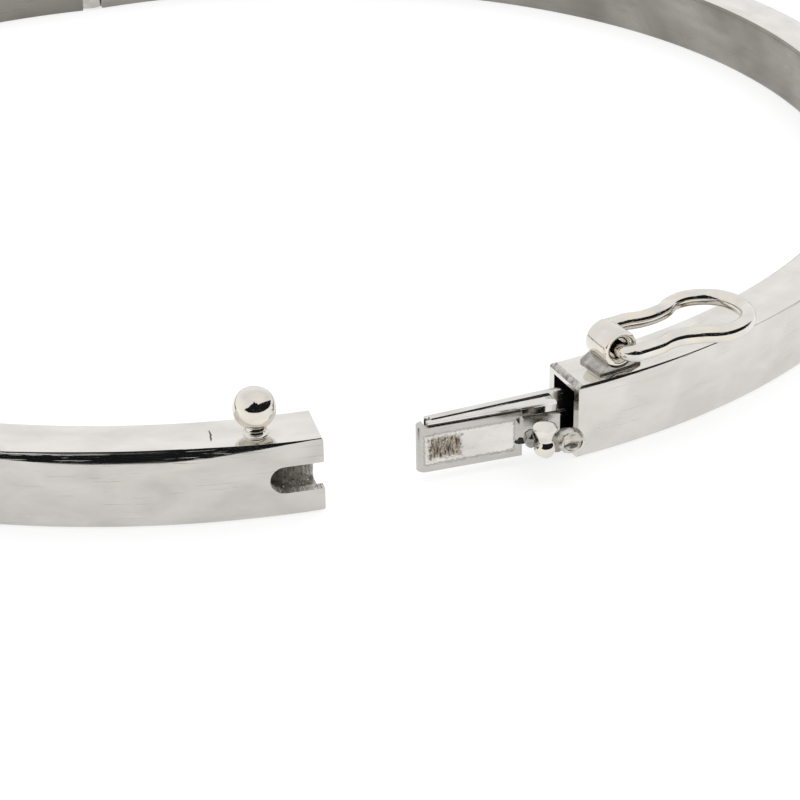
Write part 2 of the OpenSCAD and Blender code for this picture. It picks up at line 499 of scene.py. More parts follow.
def present(
    name: str,
    mesh: Mesh,
    finishes: Material | Sequence[Material],
    body: Body,
    slot: Slot,
    *nodes: str,
    smooth_under: float = SMOOTH_UNDER_DEG,
) -> bpy.types.Object:
    """Puts a finished mesh into the scene as a piece of the bangle.

    Args:
        name: The piece's name.
        mesh: Its mesh, in millimetres, in place.
        finishes: Its material, or one for each material number of its faces.
        body: The body it rides on.
        slot: The record's slot that its finish answers to. Not used.
        nodes: The CAD nodes it stands for.
        smooth_under: Edges flatter than this are shaded smooth, in degrees.

    Returns:
        The piece.
    """
    mesh.transform(Matrix.Scale(MM, 4))
    numbers = [0] * len(mesh.polygons)
    mesh.polygons.foreach_get("material_index", numbers)
    mesh.materials.clear()
    several = [finishes] if isinstance(finishes, Material) else list(finishes)
    for material in several:
        mesh.materials.append(material)
    top = len(several) - 1
    mesh.polygons.foreach_set("material_index", [min(n, top) for n in numbers])
    mesh.shade_smooth()
    mesh.set_sharp_from_angle(angle=math.radians(smooth_under))
    mesh.name = name
    piece = bpy.data.objects.new(name, mesh)
    bpy.context.scene.collection.objects.link(piece)
    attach(piece, body.value)
    if nodes:
        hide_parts(*nodes)
    log.info("%s: %d faces on %s", name, len(mesh.polygons), body.value)
    return piece


# ---- Finishes ----

# Noise values over which clouds turn dull, the surface roughens and a hairline starts
CLOUD_RANGE = (0.3, 0.75)
ROUGH_RANGE = (0.12, 0.42)
HAIRLINE_RANGE = (0.66, 0.72)
HAIRLINE_ROUGH = 0.16


def linear(hex_colour: str) -> tuple[float, float, float, float]:
    """Turns an sRGB hex colour to linear, with full alpha."""
    values = [int(hex_colour[i : i + 2], 16) / 255 for i in (0, 2, 4)]
    return tuple(
        v / 12.92 if v <= 0.04045 else ((v + 0.055) / 1.055) ** 2.4 for v in values
    ) + (1.0,)


@dataclass(frozen=True)
class Metal:
    """White gold with a worked surface: what every metal finish of the bangle shares.

    Sizes are in millimetres. The lay is the direction in which it was rubbed.
    """

    name: str
    bright: str
    dull: str
    rough_low: float
    rough_high: float
    cloud: float = 1.6
    streak_long: float = 6.0
    streak_pitch: float = 0.16
    streak_deep: float = 0.0012
    wave: float = 2.5
    wave_deep: float = 0.004
    centre: tuple[float, float] = (0.0, 0.0)
    round_ring: bool = True
    turned_deg: float = 0.0

    def lay(self, tree: Tree) -> Socket:
        """Coordinates in millimetres: along the lay, across it outwards, and up.

        Args:
            tree: The material's tree.

        Returns:
            The coordinates' socket.
        """
        place = put(tree, "ShaderNodeTexCoord")
        scaled = put(
            tree, "ShaderNodeMapping",
            {
                "Vector": place.outputs["Object"],
                "Location": (-self.centre[0], -self.centre[1], 0.0),
                "Scale": (1 / MM, 1 / MM, 1 / MM),
            },
        ).outputs[0]
        if not self.round_ring:
            turned = (0.0, 0.0, math.radians(-self.turned_deg))
            return put(
                tree, "ShaderNodeMapping", {"Vector": scaled, "Rotation": turned}
            ).outputs[0]
        parts = put(tree, "ShaderNodeSeparateXYZ", {0: scaled})
        front = calc(tree, "MULTIPLY", parts.outputs[1], -1.0)
        angle = calc(tree, "ARCTAN2", parts.outputs[0], front)
        along = calc(tree, "MULTIPLY", angle, RING.r_mid)
        flat = put(
            tree, "ShaderNodeVectorMath", {0: scaled, 1: (1.0, 1.0, 0.0)}, operation="MULTIPLY"
        )
        radius = put(tree, "ShaderNodeVectorMath", {0: flat.outputs[0]}, operation="LENGTH")
        return put(
            tree, "ShaderNodeCombineXYZ",
            {0: along, 1: radius.outputs["Value"], 2: parts.outputs[2]},
        ).outputs[0]

    def grain(
        self,
        tree: Tree,
        lay: Socket,
        size: Sequence[float],
        detail: float = 2.0,
        distortion: float = 0.0,
    ) -> Socket:
        """Noise of a real size in each direction of the lay.

        Args:
            tree: The material's tree.
            lay: Coordinates in millimetres.
            size: The size of its grains along, across and up.
            detail: How many finer layers it has.
            distortion: How much it is stirred.

        Returns:
            Its value's socket.
        """
        scaled = put(
            tree, "ShaderNodeVectorMath", {0: lay, 1: tuple(1 / s for s in size)},
            operation="MULTIPLY",
        )
        return put(
            tree, "ShaderNodeTexNoise",
            {
                "Vector": scaled.outputs[0], "Scale": 1.0, "Detail": detail,
                "Distortion": distortion,
            },
        ).outputs["Fac"]

    def spread(
        self, tree: Tree, value: Socket, start: float, end: float,
        low: float = 0.0, high: float = 1.0,
    ) -> Socket:
        """Maps a value's range to another, and holds it there."""
        return put(
            tree, "ShaderNodeMapRange",
            {"Value": value, "From Min": start, "From Max": end, "To Min": low, "To Max": high},
        ).outputs[0]

    def mixed(self, tree: Tree, factor: Socket, first: object, second: object) -> Socket:
        """Mixes two colours, each a socket or an sRGB hex value."""
        colours = [linear(c) if isinstance(c, str) else c for c in (first, second)]
        return put(
            tree, "ShaderNodeMix", {0: factor, 6: colours[0], 7: colours[1]}, data_type="RGBA"
        ).outputs[2]

    def extra(self, tree: Tree, lay: Socket, look: Look) -> Look:
        """What a particular finish adds to the look. The plain one adds nothing.

        Args:
            tree: The material's tree.
            lay: Coordinates in millimetres.
            look: The colour, roughness and height so far.

        Returns:
            The colour, roughness and height.
        """
        return look

    def make(self) -> Material:
        """Builds the finish as a material."""
        material, tree = blank_material(self.name)
        lay = self.lay(tree)
        cloud, wave, pitch = self.cloud, self.wave, self.streak_pitch
        clouds = self.grain(tree, lay, (cloud * 1.8, cloud, cloud), 3.0, 0.4)
        streaks = self.grain(tree, lay, (self.streak_long, pitch, pitch), 3.0)
        waves = self.grain(tree, lay, (wave * 2, wave, wave), 0.0)
        hairs = self.grain(
            tree, lay, (self.streak_long * 0.5, pitch * 0.4, pitch * 0.4), 1.0, 0.6
        )
        hairlines = self.spread(tree, hairs, *HAIRLINE_RANGE)
        dulled = self.spread(tree, clouds, *CLOUD_RANGE)
        colour = self.mixed(tree, dulled, self.bright, self.dull)
        rubbed = calc(tree, "MULTIPLY", clouds, streaks)
        rough = self.spread(tree, rubbed, *ROUGH_RANGE, self.rough_low, self.rough_high)
        rough = calc(tree, "MULTIPLY_ADD", hairlines, HAIRLINE_ROUGH, rough)
        height = calc(tree, "MULTIPLY", waves, self.wave_deep)
        height = calc(tree, "MULTIPLY_ADD", streaks, self.streak_deep, height)
        height = calc(tree, "MULTIPLY_ADD", hairlines, -self.streak_deep, height)
        colour, rough, height = self.extra(tree, lay, (colour, rough, height))
        # Heights are in millimetres, so the bump's distance is one of them
        bump = put(tree, "ShaderNodeBump", {"Height": height, "Strength": 1.0, "Distance": MM})
        shader = put(
            tree, "ShaderNodeBsdfPrincipled",
            {
                "Base Color": colour, "Roughness": rough, "Metallic": 1.0,
                "Normal": bump.outputs[0],
            },
        )
        put(tree, "ShaderNodeOutputMaterial", {"Surface": shader.outputs[0]})
        return material


@dataclass(frozen=True)
class SeamedPlate(Metal):
    """Rhodium-plated white gold, buffed on a wheel along the band.

    The eye gets a light, faintly warm grey mirror, clouded by handling, with hairlines
    along the band, and one soldered seam that shows as a thin dark line on the top face.
    """

    seam_at: float = -4.25
    seam_wide: float = 0.05
    seam_from: float = 30.35
    seam_to: float = 31.35
    seam_fade: float = 0.2
    seam_wander: float = 0.22
    seam_deep: float = 0.01
    seam_colour: str = "4A4A48"

    def extra(self, tree: Tree, lay: Socket, look: Look) -> Look:
        """Draws the soldered seam part of the way across the top face."""
        colour, rough, height = look
        wander = self.grain(tree, lay, (0.5, 0.25, 0.5), 2.0)
        parts = put(tree, "ShaderNodeSeparateXYZ", {0: lay})
        shifted = calc(tree, "MULTIPLY_ADD", wander, self.seam_wander, parts.outputs[0])
        off = calc(tree, "SUBTRACT", shifted, self.seam_at + self.seam_wander / 2)
        off = calc(tree, "ABSOLUTE", off)
        mask = self.spread(tree, off, self.seam_wide * 0.4, self.seam_wide, 1.0, 0.0)
        for axis, start, end, low, high in (
            (1, self.seam_from, self.seam_from + self.seam_fade, 0.0, 1.0),
            (1, self.seam_to - self.seam_fade, self.seam_to, 1.0, 0.0),
            (2, RING.tall - 0.03, RING.tall - 0.01, 0.0, 1.0),
        ):
            within = self.spread(tree, parts.outputs[axis], start, end, low, high)
            mask = calc(tree, "MULTIPLY", mask, within)
        colour = self.mixed(tree, mask, colour, self.seam_colour)
        return colour, rough, calc(tree, "MULTIPLY_ADD", mask, -self.seam_deep, height)


@dataclass(frozen=True)
class RubbedStrip(Metal):
    """Hard-rolled white gold strip, rubbed bright by the clasp, with one abraded patch.

    The eye gets a bright, softly streaked leaf. Its border round the sunk panel is greyer,
    with a dark line drawn along the step, and near the fold is a brownish patch of
    short upright strokes, where the plating is worn through.
    """

    patch_centre: Point = (0.0, 0.0)
    patch_half: Point = (0.72, 0.5)
    panel_centre: Point = (0.0, 0.0)
    panel_half: Point = (1.0, 0.68)

    def outside(
        self, tree: Tree, parts: Node, ragged: Socket, centre: Point, half: Point,
        rough_edge: float,
    ) -> Socket:
        """How far a point lies outside a rectangle on the leaf, in millimetres.

        Args:
            tree: The material's tree.
            parts: The lay, split into its axes.
            ragged: Noise that makes the rectangle's sides uneven.
            centre: Its middle, along and up.
            half: Its half sizes.
            rough_edge: How uneven its sides are.

        Returns:
            The distance's socket, negative inside.
        """
        ways = []
        for axis, middle, reach in zip((0, 2), centre, half):
            off = calc(tree, "ABSOLUTE", calc(tree, "SUBTRACT", parts.outputs[axis], middle))
            ways.append(calc(tree, "SUBTRACT", off, reach))
        return calc(tree, "MULTIPLY_ADD", ragged, rough_edge, calc(tree, "MAXIMUM", *ways))

    def extra(self, tree: Tree, lay: Socket, look: Look) -> Look:
        """Draws the sunk panel's grey border, the dark line along its step, and the abraded patch.
        """
        colour, rough, height = look
        ragged = self.grain(tree, lay, (0.12, 1.0, 0.12), 3.0)
        strokes = self.grain(tree, lay, (0.07, 1.0, 0.4), 3.0)
        specks = self.grain(tree, lay, (0.09, 1.0, 0.09), 2.0)
        parts = put(tree, "ShaderNodeSeparateXYZ", {0: lay})
        step = self.outside(tree, parts, ragged, self.panel_centre, self.panel_half, 0.2)
        border = self.spread(tree, step, 0.02, 0.2)
        colour = self.mixed(tree, calc(tree, "MULTIPLY", border, 0.6), colour, "A9A6A1")
        edge = calc(tree, "ABSOLUTE", calc(tree, "ADD", step, -0.1))
        step_line = self.spread(tree, edge, 0.01, 0.07, 0.5, 0.0)
        colour = self.mixed(tree, step_line, colour, "77736E")
        rough = calc(tree, "MULTIPLY_ADD", border, 0.12, rough)
        patch = self.outside(tree, parts, ragged, self.patch_centre, self.patch_half, 0.5)
        mask = self.spread(tree, patch, 0.12, 0.32, 1.0, 0.0)
        worn = self.mixed(tree, self.spread(tree, strokes, 0.38, 0.6), "B3A898", "4E463E")
        worn = self.mixed(tree, self.spread(tree, specks, 0.62, 0.68), worn, "DAD3C6")
        colour = self.mixed(tree, mask, colour, worn)
        rough = calc(tree, "MULTIPLY_ADD", mask, 0.35, rough)
        cuts = calc(tree, "MULTIPLY", strokes, mask)
        return colour, rough, calc(tree, "MULTIPLY_ADD", cuts, 0.03, height)


@dataclass(frozen=True)
class WarmCasting(Metal):
    """A small white gold casting, polished by hand, with its plating worn thin on top.

    The eye gets a liquid mirror that leans to cream where the gold's own colour shows.
    """

    warm: str = "EFE4CA"
    warm_share: float = 0.4

    def extra(self, tree: Tree, lay: Socket, look: Look) -> Look:
        """Lays the warm colour in soft patches."""
        colour, rough, height = look
        patches = self.grain(tree, lay, (0.7, 0.7, 0.7), 1.0)
        share = self.spread(tree, patches, 0.4, 0.7, 0.0, self.warm_share)
        return self.mixed(tree, share, colour, self.warm), rough, height


RIGHT_CENTRE = tuple(RING.opened().translation.xy)
CATCH_LAY_DEG = RING.turn(CATCH_FROM_END) + RING.open_deg

BRIGHT_LEFT = SeamedPlate(
    "rhodium_plate_buffed_left", "E6E3DE", "D4D1CC", 0.05, 0.19, cloud=1.1, streak_deep=0.0018
)
BRIGHT_RIGHT = Metal(
    "rhodium_plate_buffed_right", "E4E1DC", "D4D1CC", 0.05, 0.19, cloud=1.1,
    streak_deep=0.0018, centre=RIGHT_CENTRE,
)
# Filed inside with a coarse needle file and left so: dull, ribbed, with dark hollows. Its
# near-white colour is painted light, brightened to make up for the light that the deep inside
# loses
FILED_BRIGHTENED = Metal(
    "white_gold_filed_inside_painted_light", "EBE8E2", "9D9A95", 0.25, 0.55, cloud=0.35,
    streak_long=0.12, streak_pitch=0.12, streak_deep=0.03, wave=0.4, wave_deep=0.03,
)
# The tube's bore, near-black: painted shade for the dark inside of the tube. The same dark is also
# painted shade in the plug and the tongue's bend line, and a painted dark reflection on the solder
# drop
BORE_PAINTED_DARK = Metal(
    "tube_bore_painted_shade_and_reflection", "4B4A49", "1C1C1D", 0.35, 0.65, cloud=0.5,
    streak_long=1.5, streak_pitch=0.2, streak_deep=0.01,
)
# Needle-filed and half polished: greyer than the band, with short file lines
SADDLE = Metal(
    "white_gold_filed_saddle", "BDBAB5", "868380", 0.16, 0.4, cloud=0.4, streak_long=1.2,
    streak_pitch=0.09, streak_deep=0.006, round_ring=False,
    turned_deg=CATCH_LAY_DEG,
)
# Drawn wire, bent and buffed: long faint die lines, mirror between them
WIRE = WarmCasting(
    "drawn_wire_buffed", "E2DFDA", "CDCAC5", 0.04, 0.14, cloud=0.8, streak_long=2.5,
    streak_pitch=0.1, wave=0.7, wave_deep=0.012, round_ring=False,
    turned_deg=CATCH_LAY_DEG, warm="EBDDC2", warm_share=0.45,
)
# Cast granules, melted smooth and polished: liquid reflections, cream where worn
GRANULE = WarmCasting(
    "white_gold_granule", "E3E0DA", "CDC9C2", 0.02, 0.1, cloud=0.7, wave=0.5,
    wave_deep=0.012, streak_deep=0.0006,
)
# The left granule and the stem: a greyer, softer copy of the granules' metal, its grey being
# painted shade where they sit in beside the middle granule
SHADED = Metal(
    "white_gold_granule_painted_shade", "A5A29D", "706D69", 0.1, 0.3, cloud=0.3, streak_long=0.6,
    streak_pitch=0.1, round_ring=False,
)
SOFT = WarmCasting(
    "white_gold_granule_worn", "D8D5D0", "9D9A95", 0.24, 0.42, cloud=0.3, wave=0.4,
    wave_deep=0.02, streak_deep=0.002, warm_share=0.3,
)
# The tube's sawn end, filed off and left mottled
SAWN = Metal(
    "white_gold_sawn_end", "CECBC6", "6E6B68", 0.15, 0.45, cloud=0.22, streak_long=0.25,
    streak_pitch=0.1, streak_deep=0.02, wave=0.25, wave_deep=0.03,
)
# The band's outer wall: the same plate with fine scratches of wear, in a greyer copy whose grey is
# painted shade, lighter on the right half than the left
OUTER_SHADED_LEFT = Metal(
    "rhodium_plate_outer_painted_shade_left", "CCC9C4", "BBB8B3", 0.06, 0.22, cloud=1.1,
    streak_deep=0.0026,
)
OUTER_SHADED_RIGHT = replace(
    OUTER_SHADED_LEFT, name="rhodium_plate_outer_painted_shade_right", bright="D9D6D1", dull="CAC7C2",
    centre=RIGHT_CENTRE,
)
# The band's inner wall, satin, in a dark grey that is painted shade and reflection, darker on the
# left half than the right
INNER_SHADED_LEFT = Metal(
    "white_gold_satin_inside_painted_shade_left", "8B8781", "6C6863", 0.22, 0.42, cloud=3.0,
    streak_long=9.0, streak_pitch=0.3, streak_deep=0.004,
)
INNER_SHADED_RIGHT = replace(
    INNER_SHADED_LEFT, name="white_gold_satin_inside_painted_shade_right", bright="9F9B95", dull="7B7771",
    centre=RIGHT_CENTRE,
)
# Knuckles and rivet of the hinge: buffed outside, greyer where the cloth doesn't reach
KNUCKLE = Metal(
    "white_gold_knuckle", "CFCCC7", "A9A6A1", 0.08, 0.28, cloud=0.9, streak_long=1.2,
    streak_pitch=0.12,
)


# ---- Tube of the band ----


@dataclass(frozen=True)
class Section:
    """The band's cross-section. Its outer top edge rolls over, by an amount that varies.

    The outline runs in Y, outwards negative, and Z. A pull is the way each point goes
    when the roll-over is at its full size.
    """

    edge_r: float = 0.25
    edge_steps: int = 6
    crown_r: float = 0.95
    crown_deg: float = 44.0
    crown_steps: int = 14
    lip_r: float = 0.03
    hair: float = 0.004

    def outline(self) -> list[tuple[Point, Point]]:
        """The outer outline, as each point and its pull."""
        half, tall, r = RING.thick / 2, RING.tall, self.edge_r
        points: list[tuple[Point, Point]] = []
        for centre, start in (
            ((half - r, tall - r), 0), ((-half + r, r), 180), ((half - r, r), 270),
        ):
            corner = arc_points(centre, r, start, start + 90, self.edge_steps)
            if start == 180:
                points += self.crown()
            points += [(p, (0.0, 0.0)) for p in corner]
        return points

    def crown(self) -> list[tuple[Point, Point]]:
        """The outer top edge, from the top face down to the outer face."""
        corner = (-RING.thick / 2, RING.tall)
        r, turn = self.crown_r, math.radians(self.crown_deg)
        inset, drop = r * (1 - math.cos(turn)), r * math.sin(turn)
        # The roll-over hangs under the top face, and ends where the outer face is upright
        lip = self.lip_r
        rows = [((lip, 0.0), (inset, 0.0)), ((lip * 0.3, -lip * 0.2), (inset, 0.0))]
        for i in range(self.crown_steps + 1):
            a = turn * (1 - i / self.crown_steps)
            rows.append(((0.0, -lip), (r * (1 - math.cos(a)), -(drop - r * math.sin(a)))))
        spaced = []
        for i, ((y, z), pull) in enumerate(rows):
            # A hair apart even where there is no roll-over, so that no edge has no length
            sink = self.hair * max(0, i - 2)
            spaced.append(((corner[0] + y, corner[1] + z - sink), pull))
        return spaced

    def mesh(self, hollow: bool) -> Mesh:
        """The outline as edges that the sweep reads, with its bore if it is hollow.

        Args:
            hollow: Whether the tube has a bore.

        Returns:
            A mesh of loops, with the pull of each point as an attribute.
        """
        outer = self.outline()
        loops = [outer]
        if hollow:
            y, low, high = RING.bore
            corners = [(y, low), (-y, low), (-y, high), (y, high)]
            loops.append([(p, (0.0, 0.0)) for p in corners])
        vertices, edges, pulls = [], [], []
        for loop in loops:
            first, count = len(vertices), len(loop)
            # The sweep lays a profile's X and Y along -Y and -Z
            vertices += [(-p[0], -p[1], 0.0) for p, _ in loop]
            edges += [(first + i, first + (i + 1) % count) for i in range(count)]
            pulls += [(0.0, pull[0], pull[1]) for _, pull in loop]
        mesh = bpy.data.meshes.new("section")
        mesh.from_pydata(vertices, edges, [])
        attribute = mesh.attributes.new("pull", "FLOAT_VECTOR", "POINT")
        attribute.data.foreach_set("vector", [v for pull in pulls for v in pull])
        return mesh


# Distances from the clasp over which the roll-over changes: near the front, and further back
ROLL_FRONT = (0.2, 6.2)
ROLL_BACK = (8.5, 14.5)


def tube_tree() -> Tree:
    """The sweep that draws a straight stretch of the band, with its outer top edge rolled.

    Returns:
        The tree. Its mesh input is the section's loops.
    """
    tree, given = geometry_tree(
        "band_sweep",
        {
            "Start": "Float", "Length": "Float", "Steps": "Int", "Roll At Clasp": "Float",
            "Roll At Middle": "Float", "Roll At Back": "Float", "Material": "Material",
        },
    )
    g = given.outputs
    start = put(tree, "ShaderNodeCombineXYZ", {0: g["Start"]}).outputs[0]
    reach = calc(tree, "ADD", g["Start"], g["Length"])
    end = put(tree, "ShaderNodeCombineXYZ", {0: reach}).outputs[0]
    line = put(tree, "GeometryNodeCurvePrimitiveLine", {"Start": start, "End": end})
    path = put(tree, "GeometryNodeResampleCurve", {"Curve": line.outputs[0], "Count": g["Steps"]})
    upright = put(tree, "GeometryNodeSetCurveNormal", {"Curve": path.outputs[0]}, mode="Z_UP")
    loops = put(tree, "GeometryNodeMeshToCurve", {"Mesh": g["Mesh"]}).outputs[0]
    walls = put(
        tree, "GeometryNodeCurveToMesh", {"Curve": upright.outputs[0], "Profile Curve": loops}
    ).outputs[0]
    cap = put(tree, "GeometryNodeFillCurve", {"Curve": loops}, mode="TRIANGLES")
    stand = Matrix(((0, 0, 1), (-1, 0, 0), (0, -1, 0))).to_euler()
    caps = [
        put(
            tree, "GeometryNodeTransform",
            {"Geometry": cap.outputs[0], "Rotation": stand, "Translation": at},
        ).outputs[0]
        for at in (start, end)
    ]
    whole = put(tree, "GeometryNodeJoinGeometry", {0: [walls, *caps]})
    merged = put(
        tree, "GeometryNodeMergeByDistance", {"Geometry": whole.outputs[0], "Distance": 2e-4}
    )
    here = put(tree, "GeometryNodeInputPosition")
    axes = put(tree, "ShaderNodeSeparateXYZ", {0: here.outputs[0]})
    away = calc(tree, "ABSOLUTE", axes.outputs[0])
    rolls = [
        put(
            tree, "ShaderNodeMapRange",
            {"Value": away, "From Min": near, "From Max": far, "To Min": low, "To Max": high},
            interpolation_type="SMOOTHSTEP",
        ).outputs[0]
        for (near, far), low, high in (
            (ROLL_FRONT, g["Roll At Clasp"], g["Roll At Middle"]),
            (ROLL_BACK, 1.0, g["Roll At Back"]),
        )
    ]
    pull = put(tree, "GeometryNodeInputNamedAttribute", {"Name": "pull"}, data_type="FLOAT_VECTOR")
    # The end faces have no pull of their own, so every point takes it from the walls
    nearest = put(tree, "GeometryNodeSampleNearest", {"Geometry": walls}, domain="POINT")
    known = put(
        tree, "GeometryNodeSampleIndex",
        {"Geometry": walls, "Value": pull.outputs[0], "Index": nearest.outputs[0]},
        data_type="FLOAT_VECTOR", domain="POINT",
    )
    offset = put(
        tree, "ShaderNodeVectorMath",
        {0: known.outputs[0], "Scale": calc(tree, "MULTIPLY", *rolls)}, operation="SCALE",
    )
    rolled = put(
        tree, "GeometryNodeSetPosition",
        {"Geometry": merged.outputs[0], "Offset": offset.outputs[0]},
    )
    return close_tree(tree, rolled.outputs[0], g["Material"])


@dataclass(frozen=True)
class RollOver:
    """How much of its full size the outer top edge's roll-over has."""

    clasp: float
    middle: float
    back: float


LEFT_ROLL = RollOver(0.06, 1.0, 0.42)
RIGHT_ROLL = RollOver(0.24, 0.1, 2.0)


def mark_inside(mesh: Mesh) -> Mesh:
    """Numbers a straight tube's faces: 1 for the bore, 2 for the inner wall, 3 for the outer."""
    y_bore, low, high = RING.bore
    for face in mesh.polygons:
        _, y, z = face.center
        if abs(y) < y_bore + 0.01 and low - 0.01 < z < high + 0.01:
            face.material_index = int(abs(face.normal.x) < 0.9)
        elif abs(face.normal.y) > 0.6:
            face.material_index = 2 if face.normal.y > 0 else 3
        else:
            face.material_index = 0
    return mesh


def filed_end(mesh: Mesh, at: float, inwards: int, upper: float, lower: float) -> Mesh:
    """Rounds a straight tube's end over with a file, and numbers its upper edge 4.

    Args:
        mesh: The straight tube.
        at: Where its end is along X.
        inwards: Which way the tube runs from there, 1 or -1.
        upper: Radius of the end's upper edge.
        lower: Radius of its lower edge.

    Returns:
        The tube with its end filed.
    """
    for edge, way, r in ((RING.tall, 1, upper), (0.0, -1, lower)):
        corner = arc_points((r, -r), r, 180, 90, 10)
        outline = [(-0.2, 0.2), (-0.2, -r)] + corner + [(r, 0.2)]
        tool = prism([(at + inwards * x, edge + way * z) for x, z in outline], -1.6, 1.6)
        mesh = cut(mesh, moved(tool, UPRIGHT))
    for face in mesh.polygons:
        near = abs(face.center.x - at) < upper + 0.05
        if near and abs(face.normal.x) > 0.15 and face.normal.z > 0.15:
            face.material_index = 4
    return mesh


@dataclass
class Arm:
    """One half of the ring: its tube, and the solid end that carries the hinge."""

    tree: Tree
    plate: Material
    # Bore finish: near-black painted shade on the right half; on the left, the filed inside
    # brightened as painted light
    bore: Material
    # Inner wall finish: dark grey painted shade and reflection
    worn: Material
    # Outer wall finish: a greyer copy of the plate, its grey painted shade
    outer_shaded: Material
    sawn: Material
    roll: RollOver
    body: Body
    sign: int
    start: float
    steps: int = 240
    hinge_start: float = 3.2
    hinge_end: float = 0.5
    filed_r: Point = (0.26, 0.06)
    levels: tuple[Point, ...] = ()
    section: Section = field(default_factory=Section)

    def stretch(self, first: float, last: float, steps: int, hollow: bool) -> Mesh:
        """A straight stretch of the band, before it is bent round the ring.

        Args:
            first: Arc of its end nearer the clasp, from the clasp.
            last: Arc of its other end.
            steps: How many rings of points it has.
            hollow: Whether it has a bore.

        Returns:
            Its mesh, with its faces numbered by mark_inside.
        """
        values = {
            "Start": first if self.sign > 0 else -last, "Length": last - first,
            "Steps": steps, "Roll At Clasp": self.roll.clasp,
            "Roll At Middle": self.roll.middle, "Roll At Back": self.roll.back,
            "Material": self.plate,
        }
        return mark_inside(cleaned(grown(self.section.mesh(hollow), self.tree, values)))

    def placed(self, mesh: Mesh) -> Mesh:
        """Opens the right half's meshes, and leaves the left half's."""
        return moved(mesh, RING.opened()) if self.body is Body.RIGHT else mesh

    def build(self) -> None:
        """Builds the tube and the hinge end."""
        side = self.body.value.split("_")[0]
        last = RING.half_length - self.hinge_start
        tube = self.stretch(self.start, last, self.steps, True)
        if self.body is Body.RIGHT:
            tube = filed_end(tube, self.start, self.sign, *self.filed_r)
        present(
            f"{side}_band_tube", self.placed(RING.bend(tube)),
            [self.plate, self.bore, self.worn, self.outer_shaded, self.sawn], self.body, Slot.BAND,
            f"{side}_band",
        )
        end = RING.bend(self.stretch(last, RING.half_length - self.hinge_end, 24, False))
        drums = [(RING.knuckle_r, -1.0, RING.tall + 1.0)]
        drums += [(RING.knuckle_r + RING.run_gap, low, high) for low, high in self.levels]
        for r, low, high in drums:
            drum = rod(r, low, high, 96)
            end = cut(end, moved(drum, Matrix.Translation((0, RING.r_mid, 0))))
        # A solid end has no bore, so its walls' numbers come down by one
        for face in end.polygons:
            face.material_index = max(0, face.material_index - 1)
        present(
            f"{side}_hinge_end", self.placed(end), [self.plate, self.worn, self.outer_shaded],
            self.body, Slot.BAND, f"{side}_hinge_block",
        )


# ---- Clasp box ----


def scatter_tree() -> Tree:
    """Repeats a small mark at points in a row, each a little different.

    Returns:
        The tree. Its mesh input is the mark.
    """
    tree, given = geometry_tree(
        "marks_in_a_row",
        {
            "First": "Vector", "Step": "Vector", "Count": "Int", "Jitter": "Vector",
            "Turn": "Vector", "Least": "Vector", "Most": "Vector", "Seed": "Int",
            "Material": "Material",
        },
    )
    g = given.outputs

    def drawn(low: Socket, high: Socket, step: float) -> Socket:
        """Random values between two vectors, from a seed some steps past the given one."""
        return put(
            tree, "FunctionNodeRandomValue",
            {0: low, 1: high, "Seed": calc(tree, "ADD", g["Seed"], step)},
            data_type="FLOAT_VECTOR",
        ).outputs[0]

    def minus(vector: Socket) -> Socket:
        """The vector turned round."""
        return put(
            tree, "ShaderNodeVectorMath", {0: vector, "Scale": -1.0}, operation="SCALE"
        ).outputs[0]

    row = put(
        tree, "GeometryNodeMeshLine",
        {"Count": g["Count"], "Start Location": g["First"], "Offset": g["Step"]},
    )
    points = put(
        tree, "GeometryNodeSetPosition",
        {"Geometry": row.outputs[0], "Offset": drawn(minus(g["Jitter"]), g["Jitter"], 0.0)},
    )
    marks = put(
        tree, "GeometryNodeInstanceOnPoints",
        {
            "Points": points.outputs[0], "Instance": g["Mesh"],
            "Rotation": drawn(minus(g["Turn"]), g["Turn"], 1.0),
            "Scale": drawn(g["Least"], g["Most"], 2.0),
        },
    )
    return close_tree(tree, marks.outputs[0], g["Material"])


